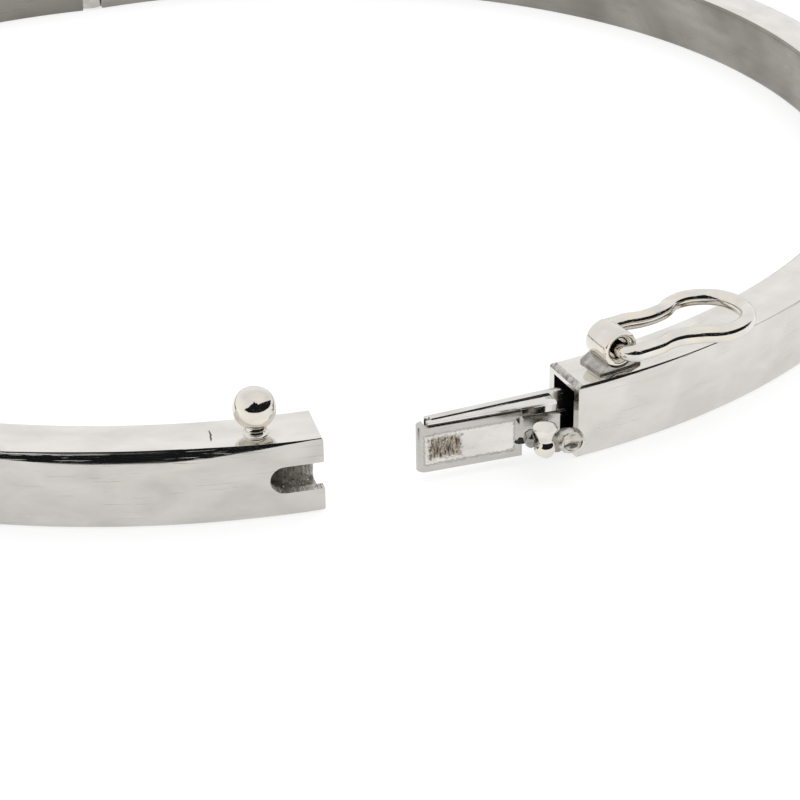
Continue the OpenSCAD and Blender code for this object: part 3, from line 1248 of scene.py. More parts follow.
@dataclass
class ClaspBox:
    """The open box at the left half's end, with its thumb notch and rough inside."""

    arm: Arm
    marks: Tree
    # The filed inside, its near-white colour painted light
    inside: Material
    length: float = 4.25
    steps: int = 60
    notch_long: float = 2.1
    notch_high: float = 1.2
    corner: float = 0.13
    file_pitch: float = 0.07
    file_deep: float = 0.012
    grain_rows: int = 7
    grain_row: float = 0.24

    def notch_tool(self) -> Mesh:
        """The cutter of the notch, its outline rippled as a needle file leaves it."""
        r, middle = self.notch_high / 2, RING.tall / 2
        blind = -RING.end_gap / 2 - self.notch_long + r
        outline = [(1.0, middle + r)]
        outline += arc_points((blind, middle), r, 90, 270, 48)
        outline += [(1.0, middle - r)]
        spaced: list[Point] = []
        for (x0, z0), (x1, z1) in zip(outline, outline[1:]):
            count = max(1, round(math.dist((x0, z0), (x1, z1)) / (self.file_pitch / 2)))
            spaced += [
                (x0 + (x1 - x0) * i / count, z0 + (z1 - z0) * i / count) for i in range(count)
            ]
        spaced.append(outline[-1])
        rippled = []
        for i, (x, z) in enumerate(spaced):
            out = Vector((min(0.0, x - blind), z - middle)).normalized()
            deep = self.file_deep * (1 if i % 2 else -0.4) * (
                0.6 + 0.8 * noise.noise(Vector((i * 0.7, SEED, 0)))
            )
            rippled.append((x + out.x * deep, z + out.y * deep))
        tool = prism(rippled, -0.2, RING.thick / 2 + 0.5)
        return moved(tool, UPRIGHT)

    def build(self) -> None:
        """Builds the box, and the file marks and solder grains inside it."""
        first, last = RING.end_gap / 2, self.length
        box = self.arm.stretch(first, last, self.steps, True)
        box = filed_end(box, -first, self.arm.sign, self.corner, self.corner * 1.6)
        # This end was plated after it was filed
        for face in box.polygons:
            face.material_index %= 4
        box = cut(box, self.notch_tool())
        y_bore, _, _ = RING.bore
        for face in box.polygons:
            x, y, z = face.center
            in_wall = -RING.thick / 2 + 0.02 < y < -y_bore + 0.001 and abs(face.normal.y) < 0.7
            near = x > -self.notch_long - 0.1
            if in_wall and near and abs(z - RING.tall / 2) < self.notch_high / 2 + 0.03:
                face.material_index = 1
        box = RING.bend(box)
        present(
            "clasp_box", box, [self.arm.plate, self.inside, self.arm.worn, self.arm.outer_shaded],
            Body.LEFT, Slot.BAND, "clasp_block",
        )
        self.build_marks(y_bore)

    def build_marks(self, y_bore: float) -> None:
        """File marks on the inner wall, and solder grains along the box's floor.

        Args:
            y_bore: Distance from the tube's middle to the inside of its wall.
        """
        rib = lathed([(0, -0.5), (0.5, -0.42), (0.5, 0.42), (0, 0.5)], 6)
        ribs = grown(
            rib, self.marks,
            {
                "First": (-4.1, y_bore - 0.004, RING.tall / 2), "Step": (0.085, 0.0, 0.0),
                "Count": 48, "Jitter": (0.02, 0.0, 0.12), "Turn": (0.0, 0.05, 0.0),
                "Least": (0.035, 0.03, 1.6), "Most": (0.07, 0.055, 2.3), "Seed": SEED,
                "Material": self.inside,
            },
        )
        grain = hand_worked(
            lathed([(0, -0.5), (0.4, -0.3), (0.5, 0.05), (0.3, 0.4), (0, 0.5)], 7), 0.2, 0.3
        )
        grains = [
            grown(
                grain, self.marks,
                {
                    "First": (-3.2, -y_bore + 0.12 + self.grain_row * row, RING.wall - 0.03),
                    "Step": (0.13, 0.0, 0.0), "Count": 24, "Jitter": (0.08, 0.08, 0.015),
                    "Turn": (0.35, 0.35, 3.1), "Least": (0.08, 0.08, 0.06),
                    "Most": (0.2, 0.18, 0.12), "Seed": SEED + 10 + row,
                    "Material": self.inside,
                },
            )
            for row in range(self.grain_rows)
        ]
        marks = RING.bend(cleaned(joined(ribs, *grains), 1e-6))
        present("clasp_box_file_marks", marks, self.inside, Body.LEFT, Slot.BAND)


# ---- Ball stud ----


@dataclass
class BallStud:
    """The ball that the safety catch closes over, on its short neck."""

    finish: Material
    from_end: float = 2.45
    ball_d: float = 1.75
    rise: float = 1.14
    neck_r: float = 0.44
    foot_r: float = 0.52
    outset: float = 0.2

    def build(self) -> None:
        """Builds the ball and the turned neck."""
        arc = -(self.from_end + RING.end_gap / 2)
        seat = RING.at(arc, RING.r_mid + self.outset, RING.tall)
        ball = hand_worked(lathed(ball_profile(self.ball_d / 2, steps=40), 80), 0.02, 0.75, 3.0)
        ball = moved(ball, seat, Matrix.Translation((0, 0, self.rise)))
        present("catch_ball_polished", ball, self.finish, Body.LEFT, Slot.CATCH, "catch_ball")
        neck = lathed(
            [
                (0, 0.0), (self.foot_r, 0.0), (self.foot_r - 0.01, 0.05),
                (self.foot_r - 0.05, 0.09), (self.neck_r - 0.02, 0.12), (self.neck_r - 0.04, 0.17),
                (self.neck_r, 0.21), (self.neck_r + 0.02, 0.27), (self.neck_r, 0.33),
                (self.neck_r - 0.05, 0.4), (self.neck_r - 0.02, 0.6),
                (0, self.rise - 0.3),
            ],
            64,
        )
        neck = moved(neck, seat)
        present("catch_ball_neck", neck, self.finish, Body.LEFT, Slot.CATCH, "ball_post")


# ---- Hinge ----


@dataclass
class Hinge:
    """Three knuckles on one riveted pin."""

    marks: Tree
    finish: Material
    pin_r: float = 0.5
    first_z: float = 0.15
    tall: float = 1.0
    gap: float = 0.05
    head_h: float = 0.12
    edge: float = 0.06

    def level(self, number: int) -> float:
        """Height of a knuckle's lower face, counted from the bottom."""
        return self.first_z + number * (self.tall + self.gap)

    def knuckle(self, bore: float) -> Mesh:
        """A knuckle with rounded rims, on the Z axis."""
        r, e, h = RING.knuckle_r, self.edge, self.tall
        rim = [
            (bore, 0), (r - e, 0), (r - 0.3 * e, 0.3 * e), (r, e), (r, h - e),
            (r - 0.3 * e, h - 0.3 * e), (r - e, h), (bore, h),
        ]
        return lathed(rim, 96)

    def stack(self, mesh: Mesh, first: int, count: int, every: int) -> Mesh:
        """Repeats a knuckle up the pin.

        Args:
            mesh: The knuckle.
            first: Level of the lowest one.
            count: How many there are.
            every: Levels from one to the next.

        Returns:
            The knuckles in place.
        """
        return cleaned(
            grown(
                mesh, self.marks,
                {
                    "First": (0.0, RING.r_mid, self.level(first)),
                    "Step": (0.0, 0.0, every * (self.tall + self.gap)), "Count": count,
                    "Jitter": (0.0, 0.0, 0.0), "Turn": (0.0, 0.0, 0.0),
                    "Least": (1.0, 1.0, 1.0), "Most": (1.0, 1.0, 1.0), "Seed": SEED,
                    "Material": self.finish,
                },
            )
        )

    def build(self) -> None:
        """Builds the knuckles and the rivet."""
        outer = self.stack(self.knuckle(self.pin_r), 0, 2, 2)
        present(
            "left_knuckles", outer, self.finish, Body.LEFT, Slot.HINGE, "left_knuckle_top",
            "left_knuckle_bottom",
        )
        middle = self.stack(self.knuckle(self.pin_r + RING.run_gap), 1, 1, 1)
        middle = moved(middle, RING.opened())
        present(
            "middle_knuckle", middle, self.finish, Body.RIGHT, Slot.HINGE, "right_knuckle"
        )
        low, high = self.level(0), self.level(2) + self.tall
        p, head = self.pin_r, self.pin_r + 0.2
        rivet = lathed(
            [
                (0, low - self.head_h), (p, low - self.head_h), (p + 0.1, low - 0.09),
                (head, low - 0.03), (head, low), (p, low), (p, high), (head, high),
                (head, high + 0.03), (p + 0.1, high + 0.09), (p, high + self.head_h),
                (0, high + self.head_h),
            ],
            64,
        )
        rivet = moved(rivet, Matrix.Translation((0, RING.r_mid, 0)))
        present(
            "hinge_rivet", rivet, self.finish, Body.LEFT, Slot.HINGE, "hinge_pin",
            "pin_head_top", "pin_head_bottom",
        )


# ---- Tongue ----


@dataclass
class Tongue:
    """The folded spring tongue: a rear leaf held in the tube, and the sprung front leaf.

    Its own frame runs along the strip from the right half's end face, and leans in.
    """

    # Near-black painted shade for the plug and the bend line, and a painted dark reflection for
    # the solder drop
    bore: Material
    lean_deg: float = 2.6
    leaf_t: float = 0.3
    leaf_gap: float = 0.05
    length: float = 6.65
    tall: float = 2.1
    front_tall: float = 2.04
    front_drop: float = 0.17
    shoulder: float = 2.2
    neck_high: float = 0.95
    neck_end: float = 0.55
    open_deg: float = 5.0
    neck_fillet: float = 0.22
    panel_deep: float = 0.05
    panel_rim: float = 0.3
    panel_ends: Point = (0.35, 0.25)
    panel_slope: float = 0.035
    lip_start: float = 0.1
    lip_end: float = -0.7
    plug_from: float = 1.5
    plug_to: float = 4.0
    plug_steps: int = 12
    rear_end: float = 3.5
    inset: float = 0.07

    @property
    def fold_r(self) -> float:
        """Outside radius of the fold."""
        return self.leaf_t + self.leaf_gap / 2

    @property
    def fold(self) -> Point:
        """Where the fold turns."""
        return self.fold_r - self.length, -(self.leaf_t + self.leaf_gap) / 2

    @property
    def front_y(self) -> float:
        """Outer face of the front leaf before it is let out."""
        return self.fold[1] - self.fold_r

    def seat(self) -> Matrix:
        """The tongue's frame, opened with the right half."""
        lean = Matrix.Rotation(math.radians(-self.lean_deg), 4, "Z")
        return RING.opened() @ Matrix.Translation((0, self.inset - RING.r_mid, 0)) @ lean

    def let_out(self) -> Matrix:
        """The front leaf's frame, sprung away from the rear leaf about the fold."""
        fold = Vector((*self.fold, 0))
        spin = Matrix.Rotation(math.radians(-self.open_deg), 4, "Z")
        return self.seat() @ Matrix.Translation(fold) @ spin @ Matrix.Translation(-fold)

    def strip_finish(self, name: str, frame_of: Matrix, patch: bool) -> Material:
        """The strip's finish, laid along the leaf it is for.

        Args:
            name: The material's name.
            frame_of: The leaf's frame.
            patch: Whether the leaf has the abraded patch.

        Returns:
            The material.
        """
        angle = frame_of.to_euler().z
        rolled = Metal(
            name, "E2E0DC", "CBC8C3", 0.06, 0.2, cloud=1.1, streak_long=1.6,
            streak_pitch=0.12, streak_deep=0.002, wave=0.8, wave_deep=0.006,
            round_ring=False, turned_deg=math.degrees(angle),
        )
        if not patch:
            return rolled.make()
        fold, end = self.fold[0], -self.shoulder
        laid = Matrix.Rotation(-angle, 4, "Z") @ frame_of
        tip = laid @ Vector((fold + 0.8, 0, RING.tall / 2 - self.front_drop))
        panel = laid @ Vector(((fold + end) / 2 - 0.2, 0, RING.tall / 2 - 0.19))
        return RubbedStrip(
            **vars(rolled), patch_centre=(tip.x, tip.z), panel_centre=(panel.x, panel.z),
            panel_half=((end - fold) / 2 - 0.12, 0.68),
        ).make()

    def front_leaf(self) -> Mesh:
        """The front leaf with the fold, its neck, and the sunk panel in its face."""
        (fx, fy), front, back = self.fold, self.front_y, self.fold[1] - self.leaf_gap / 2
        middle = RING.tall / 2 - self.front_drop
        low, high = middle - self.front_tall / 2, middle + self.front_tall / 2
        plan = [(-self.neck_end, back), (-self.neck_end, front)]
        plan += arc_points((fx, fy), self.fold_r, 270, 90, 28)
        plan += arc_points((fx, fy), self.leaf_gap / 2, 90, 270, 8)
        leaf = prism(plan, low, high)
        for tool in (
            self.neck_tool(1, high), self.neck_tool(-1, low), self.panel_tool(low, high),
            self.gouge_tool(high),
        ):
            leaf = cut(leaf, tool)
        return worked(cleaned(leaf, 1e-4), rounded_edges(0.07, 4, 50))

    def neck_tool(self, sign: int, edge: float) -> Mesh:
        """The cutter of the leaf's corner beside the neck.

        Args:
            sign: 1 above the neck, -1 below it.
            edge: Height of the leaf's edge there.

        Returns:
            The cutter.
        """
        r, neck = self.neck_fillet, RING.tall / 2 + sign * self.neck_high / 2
        profile = [(-self.shoulder, edge + sign), (0.5, edge + sign), (0.5, neck)]
        centre = (-self.shoulder + r, neck + sign * r)
        profile += arc_points(centre, r, -sign * 90, -sign * 180, 8)
        return moved(prism(profile, -1.0, 2.0), UPRIGHT)

    def panel_tool(self, low: float, high: float) -> Mesh:
        """The cutter of the sunk panel, which widens outwards.

        Args:
            low: Height of the leaf's lower edge.
            high: Height of its upper edge.

        Returns:
            The cutter.
        """
        x0, x1 = self.fold[0] + self.panel_ends[0], -self.shoulder - self.panel_ends[1]
        z0, z1 = low + self.panel_rim, high - self.panel_rim
        over = 0.2
        spread = self.panel_slope * (over + self.panel_deep) / self.panel_deep
        corners = [
            (x, self.front_y + inwards, z)
            for inwards, wide in ((self.panel_deep, 0.0), (-over, spread))
            for x, z in (
                (x0 - wide, z0 - wide), (x1 + wide, z0 - wide),
                (x1 + wide, z1 + wide), (x0 - wide, z1 + wide),
            )
        ]
        sides = [(i, (i + 1) % 4, 4 + (i + 1) % 4, 4 + i) for i in range(4)]
        return from_parts(corners, [(0, 1, 2, 3), (4, 5, 6, 7), *sides])

    def gouge_tool(self, high: float) -> Mesh:
        """The cutter of the three-cornered gouge, where the lips of the box catch the leaf."""
        end, front = -self.shoulder, self.front_y
        corners = [
            (end - 0.42, front - 0.1, high - 0.22), (end + 0.02, front - 0.1, high - 0.1),
            (end - 0.08, front - 0.1, high - 0.72), (end - 0.16, front + 0.14, high - 0.36),
        ]
        return from_parts(corners, [(0, 1, 2), (0, 1, 3), (1, 2, 3), (2, 0, 3)])

    def build(self) -> None:
        """Builds the plug, the rear leaf and the front leaf."""
        plug = self.plug()
        # The plug takes the near-black painted shade of the tube's dark inside
        present("tongue_plug", plug, self.bore, Body.RIGHT, Slot.TONGUE, "tongue_anchor")
        fx, _ = self.fold
        low, high = (RING.tall - self.tall) / 2, (RING.tall + self.tall) / 2
        half = self.leaf_t / 2
        rear = block((fx, -half, low), (self.rear_end, half, high))
        rim = rod(self.fold_r + 0.03, -1, 5, 64)
        rear = cut(rear, moved(rim, Matrix.Translation((*self.fold, 0))))
        rear = worked(cleaned(rear), rounded_edges(0.03, 2))
        rear = joined(rear, *self.turned_over(half, high))
        present(
            "tongue_rear_strip", moved(rear, self.seat()),
            [self.strip_finish("rolled_strip_rear", self.seat(), False), self.bore],
            Body.RIGHT, Slot.TONGUE, "tongue_rear_leaf",
        )
        front = moved(self.front_leaf(), self.let_out())
        finish = self.strip_finish("rolled_strip_front", self.let_out(), True)
        present(
            "tongue_front_strip", front, finish, Body.LEAF, Slot.TONGUE, "tongue_spring_leaf"
        )
        drop = hand_worked(
            lathed(
                [(0, -0.16), (0.1, -0.12), (0.15, -0.03), (0.14, 0.06), (0.08, 0.13), (0, 0.16)],
                20,
            ),
            0.06, 0.15,
        )
        drop = moved(
            drop, self.let_out(),
            Matrix.Translation((-self.shoulder - 0.06, self.front_y + 0.03, RING.tall / 2 - 0.5)),
            Matrix.Diagonal((1.7, 0.4, 1.25, 1)),
        )
        # The drop takes the near-black material: a painted dark reflection
        present("shoulder_solder_drop", drop, self.bore, Body.LEAF, Slot.TONGUE)

    def turned_over(self, half: float, high: float) -> list[Mesh]:
        """The rear strip's top edge, turned over above the gap, and a painted shadow: a dark line
        along the bend, in the gap above the front leaf.

        Args:
            half: Half the strip's thickness.
            high: Height of the strip's top.

        Returns:
            The lip and the painted shadow line. The line has the second material number.
        """
        first, last = self.fold[0] + self.lip_start, self.lip_end
        slope = math.tan(math.radians(self.open_deg))
        at_fold = half + self.leaf_gap + 0.2
        reach = at_fold + slope * (last - self.fold[0])
        painted_shadow_strip = [
            (first, -half + 0.01), (last, -half + 0.01), (last, -half - 0.1),
            (first, -half - 0.015),
        ]
        lip = [
            (first, -half - 0.014), (last, -half - 0.099), (last, -reach), (first, -at_fold),
        ]
        # The line is painted shadow, in the near-black second material
        line = prism(painted_shadow_strip, high - 0.16, high - 0.035)
        line.polygons.foreach_set("material_index", [1] * len(line.polygons))
        plate = worked(prism(lip, high - 0.17, high - 0.035), rounded_edges(0.012, 2))
        return [line, plate]

    def plug(self) -> Mesh:
        """The plug in the tube's end, with the rear leaf's slot through it."""
        side, low, high = RING.bore
        count = self.plug_steps
        step = (self.plug_to - self.plug_from) / count
        rings = [
            (self.plug_from + step * i, y, z)
            for i in range(count + 1)
            for y, z in ((-side, low), (side, low), (side, high), (-side, high))
        ]
        faces = [
            (4 * i + j, 4 * i + (j + 1) % 4, 4 * i + 4 + (j + 1) % 4, 4 * i + 4 + j)
            for i in range(count)
            for j in range(4)
        ]
        faces += [(0, 1, 2, 3), tuple(4 * count + j for j in range(4))]
        plug = moved(RING.bend(from_parts(rings, faces)), RING.opened())
        low, high = (RING.tall - self.tall) / 2, (RING.tall + self.tall) / 2
        half = self.leaf_t / 2
        slot = moved(block((-1, -half, low), (self.rear_end, half, high)), self.seat())
        return cut(plug, slot)


# ---- Thumb piece ----


@dataclass
class ThumbPiece:
    """The three granules that a thumb presses, on a stem from the front leaf."""

    tongue: Tongue
    finish: Material
    shaded: Material
    soft: Material
    stem_x: float = -1.3
    stem_r: float = 0.32
    stem_h: float = 1.7
    # Each granule's place: arc, distance out from the band's face, height above its middle
    bud_at: Place = (-2.05, 1.35, 0.14)
    left_at: Place = (-2.47, 0.93, 0.42)
    right_at: Place = (-0.93, 1.12, 0.05)
    left_r: float = 0.38
    right_r: float = 0.6

    def seat(self, arc: float, out: float, up: float) -> Matrix:
        """Frame of a granule, opened with the right half."""
        return RING.opened() @ RING.at(arc, RING.outer_d / 2 + out, RING.tall / 2 + up)

    def bud(self) -> Mesh:
        """The middle granule: an upside-down cone with a domed top and a ball under it."""
        ball = ball_profile(0.45, 28, 16)
        cone = [
            (0.335, 0.30), (0.31, 0.35), (0.315, 0.4), (0.37, 0.52), (0.43, 0.67),
            (0.485, 0.81), (0.5, 0.88), (0.485, 0.94), (0.42, 0.99), (0.3, 1.02), (0.15, 1.035),
            (0, 1.04),
        ]
        return hand_worked(lathed(ball + cone, 56), 0.035, 0.4, 7.0)

    def left_lobe(self) -> Mesh:
        """The small granule on the left, narrower along the band than it is tall."""
        lobe = hand_worked(lathed(ball_profile(self.left_r), 40), 0.05, 0.3, 1.0)
        return moved(lobe, Matrix.Diagonal((0.72, 0.9, 1.05, 1)))

    def right_lobe(self) -> Mesh:
        """The large granule on the right: a cup with a thick bright rim, facing out."""
        outside = ball_profile(self.right_r, 36)
        rim_r, rim_z = outside[-1]
        cup = [
            (rim_r - 0.02, rim_z + 0.04), (rim_r - 0.06, rim_z + 0.06),
            (rim_r - 0.1, rim_z + 0.05), (rim_r - 0.14, rim_z + 0.015),
            (rim_r - 0.2, rim_z - 0.02), (0.1, rim_z - 0.04), (0, rim_z - 0.045),
        ]
        lobe = hand_worked(lathed(outside + cup, 56), 0.05, 0.3, 5.0)
        # The cup looks outwards, and a little up and to the left
        tip = Matrix.Rotation(math.radians(72), 4, "X") @ Matrix.Rotation(
            math.radians(-8), 4, "Y"
        )
        return moved(lobe, tip, Matrix.Diagonal((1.0, 0.88, 1.0, 1)))

    def build(self) -> None:
        """Builds the stem and the three granules."""
        leaf = self.tongue
        foot = self.stem_r
        stem = lathed(
            [
                (0, 0), (foot + 0.05, 0), (foot + 0.03, 0.05), (foot, 0.14),
                (foot - 0.03, 0.3), (foot - 0.03, self.stem_h - 0.5), (foot, self.stem_h - 0.25),
                (foot - 0.1, self.stem_h), (0, self.stem_h),
            ],
            48,
        )
        stem = moved(
            stem, leaf.let_out(),
            Matrix.Translation((self.stem_x, leaf.front_y, RING.tall / 2 - 0.06)),
            UPRIGHT,
        )
        present("thumb_stem", stem, self.shaded, Body.LEAF, Slot.THUMB, "thumb_post")
        pieces: list[tuple[str, Callable[[], Mesh], tuple, str, Material]] = [
            ("thumb_middle_granule", self.bud, self.bud_at, "thumb_bud", self.finish),
            ("thumb_left_granule", self.left_lobe, self.left_at, "thumb_lobe_left", self.shaded),
            ("thumb_right_granule", self.right_lobe, self.right_at, "thumb_lobe_right", self.soft),
        ]
        for name, shape, at, node, finish in pieces:
            mesh = moved(shape(), self.seat(*at))
            present(name, mesh, finish, Body.LEAF, Slot.THUMB, node)


# ---- Safety catch ----


def wire_tree() -> Tree:
    """The sweep that draws the bent wire.

    Returns:
        The tree. Its mesh input is the wire's line, with its girth at each point.
    """
    tree, given = geometry_tree(
        "bent_wire", {"Radius": "Float", "Sides": "Int", "Material": "Material"}
    )
    g = given.outputs
    path = put(tree, "GeometryNodeMeshToCurve", {"Mesh": g["Mesh"]})
    upright = put(tree, "GeometryNodeSetCurveNormal", {"Curve": path.outputs[0]}, mode="Z_UP")
    profile = put(
        tree, "GeometryNodeCurvePrimitiveCircle",
        {"Resolution": g["Sides"], "Radius": g["Radius"]}, mode="RADIUS",
    )
    girth = put(tree, "GeometryNodeInputNamedAttribute", {"Name": "girth"}, data_type="FLOAT")
    wire = put(
        tree, "GeometryNodeCurveToMesh",
        {
            "Curve": upright.outputs[0], "Profile Curve": profile.outputs[0],
            "Scale": girth.outputs[0],
        },
    )
    return close_tree(tree, wire.outputs[0], g["Material"])


@dataclass
class SafetyCatch:
    """The figure-eight of bent wire that turns in a tube on the right half's top face.

    Its own frame has u along X, away from the tube, and the tube's axis along Y.
    """

    wire_finish: Material
    saddle_finish: Material
    tube_rise: float = 0.95
    tube_outset: float = 0.1
    tube_r: float = 0.8
    tube_l: float = 1.5
    wire_r: float = 0.37
    corner: float = 0.5
    side_u: float = 1.2
    curve_r: float = 2.4
    waist_v: float = 1.1
    loop_r: float = 1.75

    @property
    def side_v(self) -> float:
        """Half width at the shoulders, at the wire's middle."""
        return self.tube_l / 2 + 0.05 + self.corner

    @property
    def waist_u(self) -> float:
        """Where the waist is narrowest."""
        rise = self.waist_v - self.side_v + 2 * self.curve_r
        return self.side_u + math.sqrt((2 * self.curve_r) ** 2 - rise**2)

    @property
    def loop_u(self) -> float:
        """Centre of the far loop."""
        reach = (self.curve_r + self.loop_r) ** 2 - (self.waist_v + self.curve_r) ** 2
        return self.waist_u + math.sqrt(reach)

    def seat(self) -> Matrix:
        """Frame at the middle of the tube, opened with the right half."""
        arc, radius = CATCH_FROM_END + RING.end_gap / 2, RING.r_mid + self.tube_outset
        return RING.opened() @ RING.at(arc, radius, RING.tall + self.tube_rise)

    def line(self) -> list[Point]:
        """The wire's middle line, once round."""
        side, curve = self.side_v, self.curve_r
        side_turn = math.degrees(math.asin((self.waist_u - self.side_u) / (2 * curve)))
        loop_turn = math.degrees(
            math.asin((self.loop_u - self.waist_u) / (curve + self.loop_r))
        )
        upper = arc_points((self.corner, side - self.corner), self.corner, 180, 90, 10)
        upper += arc_points((self.side_u, side - curve), curve, 90, 90 - side_turn, 10)
        upper += arc_points(
            (self.waist_u, self.waist_v + curve), curve, -90 - side_turn, -90 + loop_turn, 22
        )[1:]
        upper += arc_points((self.loop_u, 0), self.loop_r, 90 + loop_turn, 0, 34)[1:]
        lower = [(u, -v) for u, v in reversed(upper[:-1])]
        rod = [(0.0, lower[-1][1] + (upper[0][1] - lower[-1][1]) * i / 8) for i in range(1, 8)]
        return upper + lower + rod

    def wire(self) -> Mesh:
        """The figure-eight, swept along its line and flattened a little by the hammer."""
        points = self.line()
        count = len(points)
        mesh = bpy.data.meshes.new("line")
        mesh.from_pydata(
            [(u, v, 0.0) for u, v in points], [(i, (i + 1) % count) for i in range(count)], []
        )
        girth = mesh.attributes.new("girth", "FLOAT", "POINT")
        girth.data.foreach_set("value", [self.girth(u, v) for u, v in points])
        swept = grown(
            mesh, wire_tree(),
            {"Radius": self.wire_r, "Sides": 32, "Material": self.wire_finish},
        )
        return hand_worked(cleaned(swept), 0.03, 0.9, 2.0)

    def girth(self, u: float, v: float) -> float:
        """The wire's thickness there, as a share of its full thickness."""
        in_tube = max(0.0, 1 - abs(u) / 0.4)
        uneven = 0.05 * noise.noise(Vector((u * 0.8, v * 0.8, SEED)))
        return min(1.0, 0.96 + uneven) - 0.1 * in_tube

    def tube(self) -> Mesh:
        """The tube, with countersunk mouths and rounded rims, along its frame's Y."""
        half, r, bore = self.tube_l / 2, self.tube_r, self.wire_r + RING.run_gap
        rims = [
            (bore, half - 0.24), (bore + 0.03, half - 0.16), (bore + 0.12, half - 0.06),
            (bore + 0.19, half - 0.01), (r - 0.12, half), (r - 0.05, half - 0.02),
            (r - 0.01, half - 0.07), (r, half - 0.13),
        ]
        profile = rims + [(a, -b) for a, b in reversed(rims)]
        tube = hand_worked(lathed(profile, 72), 0.012, 0.5, 4.0)
        return moved(tube, UPRIGHT)

    def saddle(self) -> Mesh:
        """The filed cradle that the tube is soldered into."""
        outline = [(-1, 0), (1, 0), (1, 0.12), (0.56, 0.4), (-0.56, 0.4), (-1, 0.12)]
        half = self.tube_l / 2
        body = moved(prism([(x, z - self.tube_rise) for x, z in outline], -half, half), UPRIGHT)
        hollow = moved(rod(self.tube_r, -half - 0.5, half + 0.5, 72), UPRIGHT)
        body = cut(body, hollow)
        return worked(cleaned(body, 1e-4), rounded_edges(0.04, 2, 35))

    def build(self) -> None:
        """Builds the saddle, the tube and the figure-eight."""
        seat = self.seat()
        present(
            "catch_cradle", moved(self.saddle(), seat), self.saddle_finish, Body.RIGHT,
            Slot.CATCH, "catch_saddle",
        )
        present(
            "catch_barrel", moved(self.tube(), seat), self.wire_finish, Body.RIGHT,
            Slot.CATCH, "catch_tube",
        )
        present(
            "catch_figure_eight", moved(self.wire(), seat), self.wire_finish,
            Body.CATCH, Slot.CATCH, "figure_eight", smooth_under=60,
        )


# ---- Studio ----


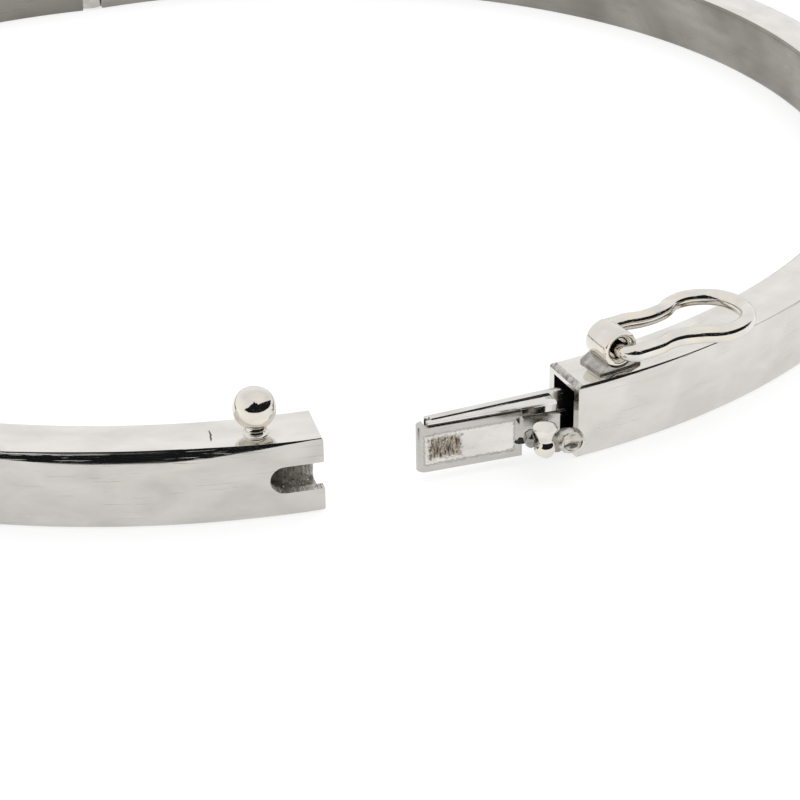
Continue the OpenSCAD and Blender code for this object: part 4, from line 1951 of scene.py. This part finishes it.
@dataclass
class Studio:
    """A white sheet in soft white light, with the dark of the room behind the camera."""

    lens: float = 105.57
    camera_at: tuple[float, float, float] = (-17.494, -109.948, 49.462)
    yaw: float = 0.258564
    pitch: float = 0.507882
    roll: float = -0.018519
    light: float = 1.03
    sheet_half: float = 900.0
    lamp_at: Place = (220.0, 50.0, 340.0)
    lamp_aim: Place = (0.0, -10.0, 0.0)
    lamp_side: float = 350.0
    lamp_power: float = 0.25
    room_distance: float = 330.0
    room_centre: Place = (0.0, -25.0, 3.0)
    # Outline of the dark room as the bangle sees it: degrees from the camera, degrees up
    room: tuple[Point, ...] = (
        (-118, 12), (-100, 6), (-80, 3), (-40, 1), (0, 1), (30, 2), (54, 8), (46, 16), (34, 21),
        (26, 33), (14, 44), (4, 47), (-4, 58), (-12, 56), (-20, 49), (-30, 47), (-38, 36),
        (-56, 28), (-80, 21), (-100, 19),
    )

    def stand(self, name: str, mesh: Mesh, material: Material) -> bpy.types.Object:
        """Puts a mesh in millimetres into the set, as something that isn't the bangle."""
        mesh.transform(Matrix.Scale(MM, 4))
        mesh.materials.append(material)
        thing = bpy.data.objects.new(name, mesh)
        bpy.context.scene.collection.objects.link(thing)
        return thing

    def build_camera(self) -> None:
        """Sets up the camera."""
        sy, cy = math.sin(self.yaw), math.cos(self.yaw)
        sp, cp = math.sin(self.pitch), math.cos(self.pitch)
        forward = Vector((sy * cp, cy * cp, -sp))
        right = Vector((cy, -sy, 0))
        up = right.cross(forward)
        sr, cr = math.sin(self.roll), math.cos(self.roll)
        x_axis, y_axis = right * cr + up * sr, up * cr - right * sr
        turned = Matrix((x_axis, y_axis, -forward)).transposed().to_4x4()
        data = bpy.data.cameras.new("camera")
        data.lens = self.lens
        data.sensor_width = 36.0
        data.clip_start, data.clip_end = 0.001, 10.0
        camera = bpy.data.objects.new("camera", data)
        camera.matrix_world = Matrix.Translation(Vector(self.camera_at) * MM) @ turned
        bpy.context.scene.collection.objects.link(camera)
        bpy.context.scene.camera = camera

    def build_sheet(self) -> None:
        """Lays the white sheet that the bangle stands on."""
        material, tree = blank_material("white_paper_sheet")
        # Matt paper under more light than it can show, so it clips to white
        shader = put(
            tree, "ShaderNodeBsdfPrincipled",
            {
                "Base Color": linear("A0A0A0"), "Roughness": 0.9,
                "Emission Color": linear("FFFFFF"), "Emission Strength": 0.7,
            },
        )
        put(tree, "ShaderNodeOutputMaterial", {"Surface": shader.outputs[0]})
        h = self.sheet_half
        mesh = bpy.data.meshes.new("sheet")
        mesh.from_pydata([(-h, -h, 0), (h, -h, 0), (h, h, 0), (-h, h, 0)], [], [(0, 1, 2, 3)])
        self.stand("white_sheet", mesh, material)

    def build_room(self) -> None:
        """Hangs the dark of the room behind the camera, seen only in reflections."""
        material, tree = blank_material("dark_room")
        shader = put(
            tree, "ShaderNodeEmission", {"Color": linear("2B2E30"), "Strength": 0.5}
        )
        put(tree, "ShaderNodeOutputMaterial", {"Surface": shader.outputs[0]})
        away = math.pi + self.yaw
        points = []
        for turn, up in self.room:
            azimuth, height = away + math.radians(turn), math.radians(up)
            level = math.cos(height)
            out = (math.sin(azimuth) * level, math.cos(azimuth) * level, math.sin(height))
            points.append(Vector(self.room_centre) + Vector(out) * self.room_distance)
        mesh = bpy.data.meshes.new("room")
        middle = sum(points, Vector()) / len(points)
        count = len(points)
        mesh.from_pydata(
            [tuple(p) for p in points + [middle]], [],
            [(i, (i + 1) % count, count) for i in range(count)],
        )
        room = self.stand("dark_room", mesh, material)
        room.visible_camera = False
        room.visible_diffuse = False
        room.visible_shadow = False

    def build_light(self) -> None:
        """Lights the set with an even white surround and one soft lamp."""
        world = bpy.data.worlds.new("white_surround")
        bpy.context.scene.world = world
        world.use_nodes = True
        tree = world.node_tree
        tree.nodes.clear()
        shade = put(
            tree, "ShaderNodeBackground", {"Color": linear("FFFFFF"), "Strength": self.light}
        )
        put(tree, "ShaderNodeOutputWorld", {"Surface": shade.outputs[0]})
        lamp = bpy.data.lights.new("soft_box", "AREA")
        lamp.shape = "RECTANGLE"
        lamp.size = lamp.size_y = self.lamp_side * MM
        lamp.energy = self.lamp_power
        box = bpy.data.objects.new("soft_box", lamp)
        box.location = Vector(self.lamp_at) * MM
        towards = Vector(self.lamp_aim) - Vector(self.lamp_at)
        box.rotation_euler = towards.to_track_quat("-Z", "Y").to_euler()
        box.visible_glossy = False
        bpy.context.scene.collection.objects.link(box)

    def build(self) -> None:
        """Builds the whole set."""
        bpy.context.scene.view_settings.view_transform = "Standard"
        self.build_camera()
        self.build_sheet()
        self.build_room()
        self.build_light()


def main() -> None:
    """Builds the set and the bangle, piece by piece."""
    logging.basicConfig(level=logging.INFO, format="%(name)s: %(message)s")
    Studio().build()
    bright_left, bright_right = BRIGHT_LEFT.make(), BRIGHT_RIGHT.make()
    # bore is the near-black painted shade and reflection; filed is the inside brightened as
    # painted light
    bore, filed, granule = BORE_PAINTED_DARK.make(), FILED_BRIGHTENED.make(), GRANULE.make()
    sweep, marks = tube_tree(), scatter_tree()
    hinge = Hinge(marks, KNUCKLE.make())
    pocket = (hinge.level(1) - hinge.gap, hinge.level(2))
    sawn = SAWN.make()
    left = Arm(
        sweep, bright_left, filed, INNER_SHADED_LEFT.make(), OUTER_SHADED_LEFT.make(), sawn, LEFT_ROLL,
        Body.LEFT, -1, ClaspBox.length, levels=(pocket,),
    )
    right = Arm(
        sweep, bright_right, bore, INNER_SHADED_RIGHT.make(), OUTER_SHADED_RIGHT.make(), sawn, RIGHT_ROLL,
        Body.RIGHT, 1, RING.end_gap / 2,
        levels=(
            (-1.0, hinge.level(1) - hinge.gap / 2),
            (hinge.level(2) - hinge.gap / 2, RING.tall + 1.0),
        ),
    )
    left.build()
    right.build()
    ClaspBox(left, marks, filed).build()
    BallStud(granule).build()
    hinge.build()
    tongue = Tongue(bore)
    tongue.build()
    ThumbPiece(tongue, granule, SHADED.make(), SOFT.make()).build()
    SafetyCatch(WIRE.make(), SADDLE.make()).build()


if __name__ == "__main__":
    main()
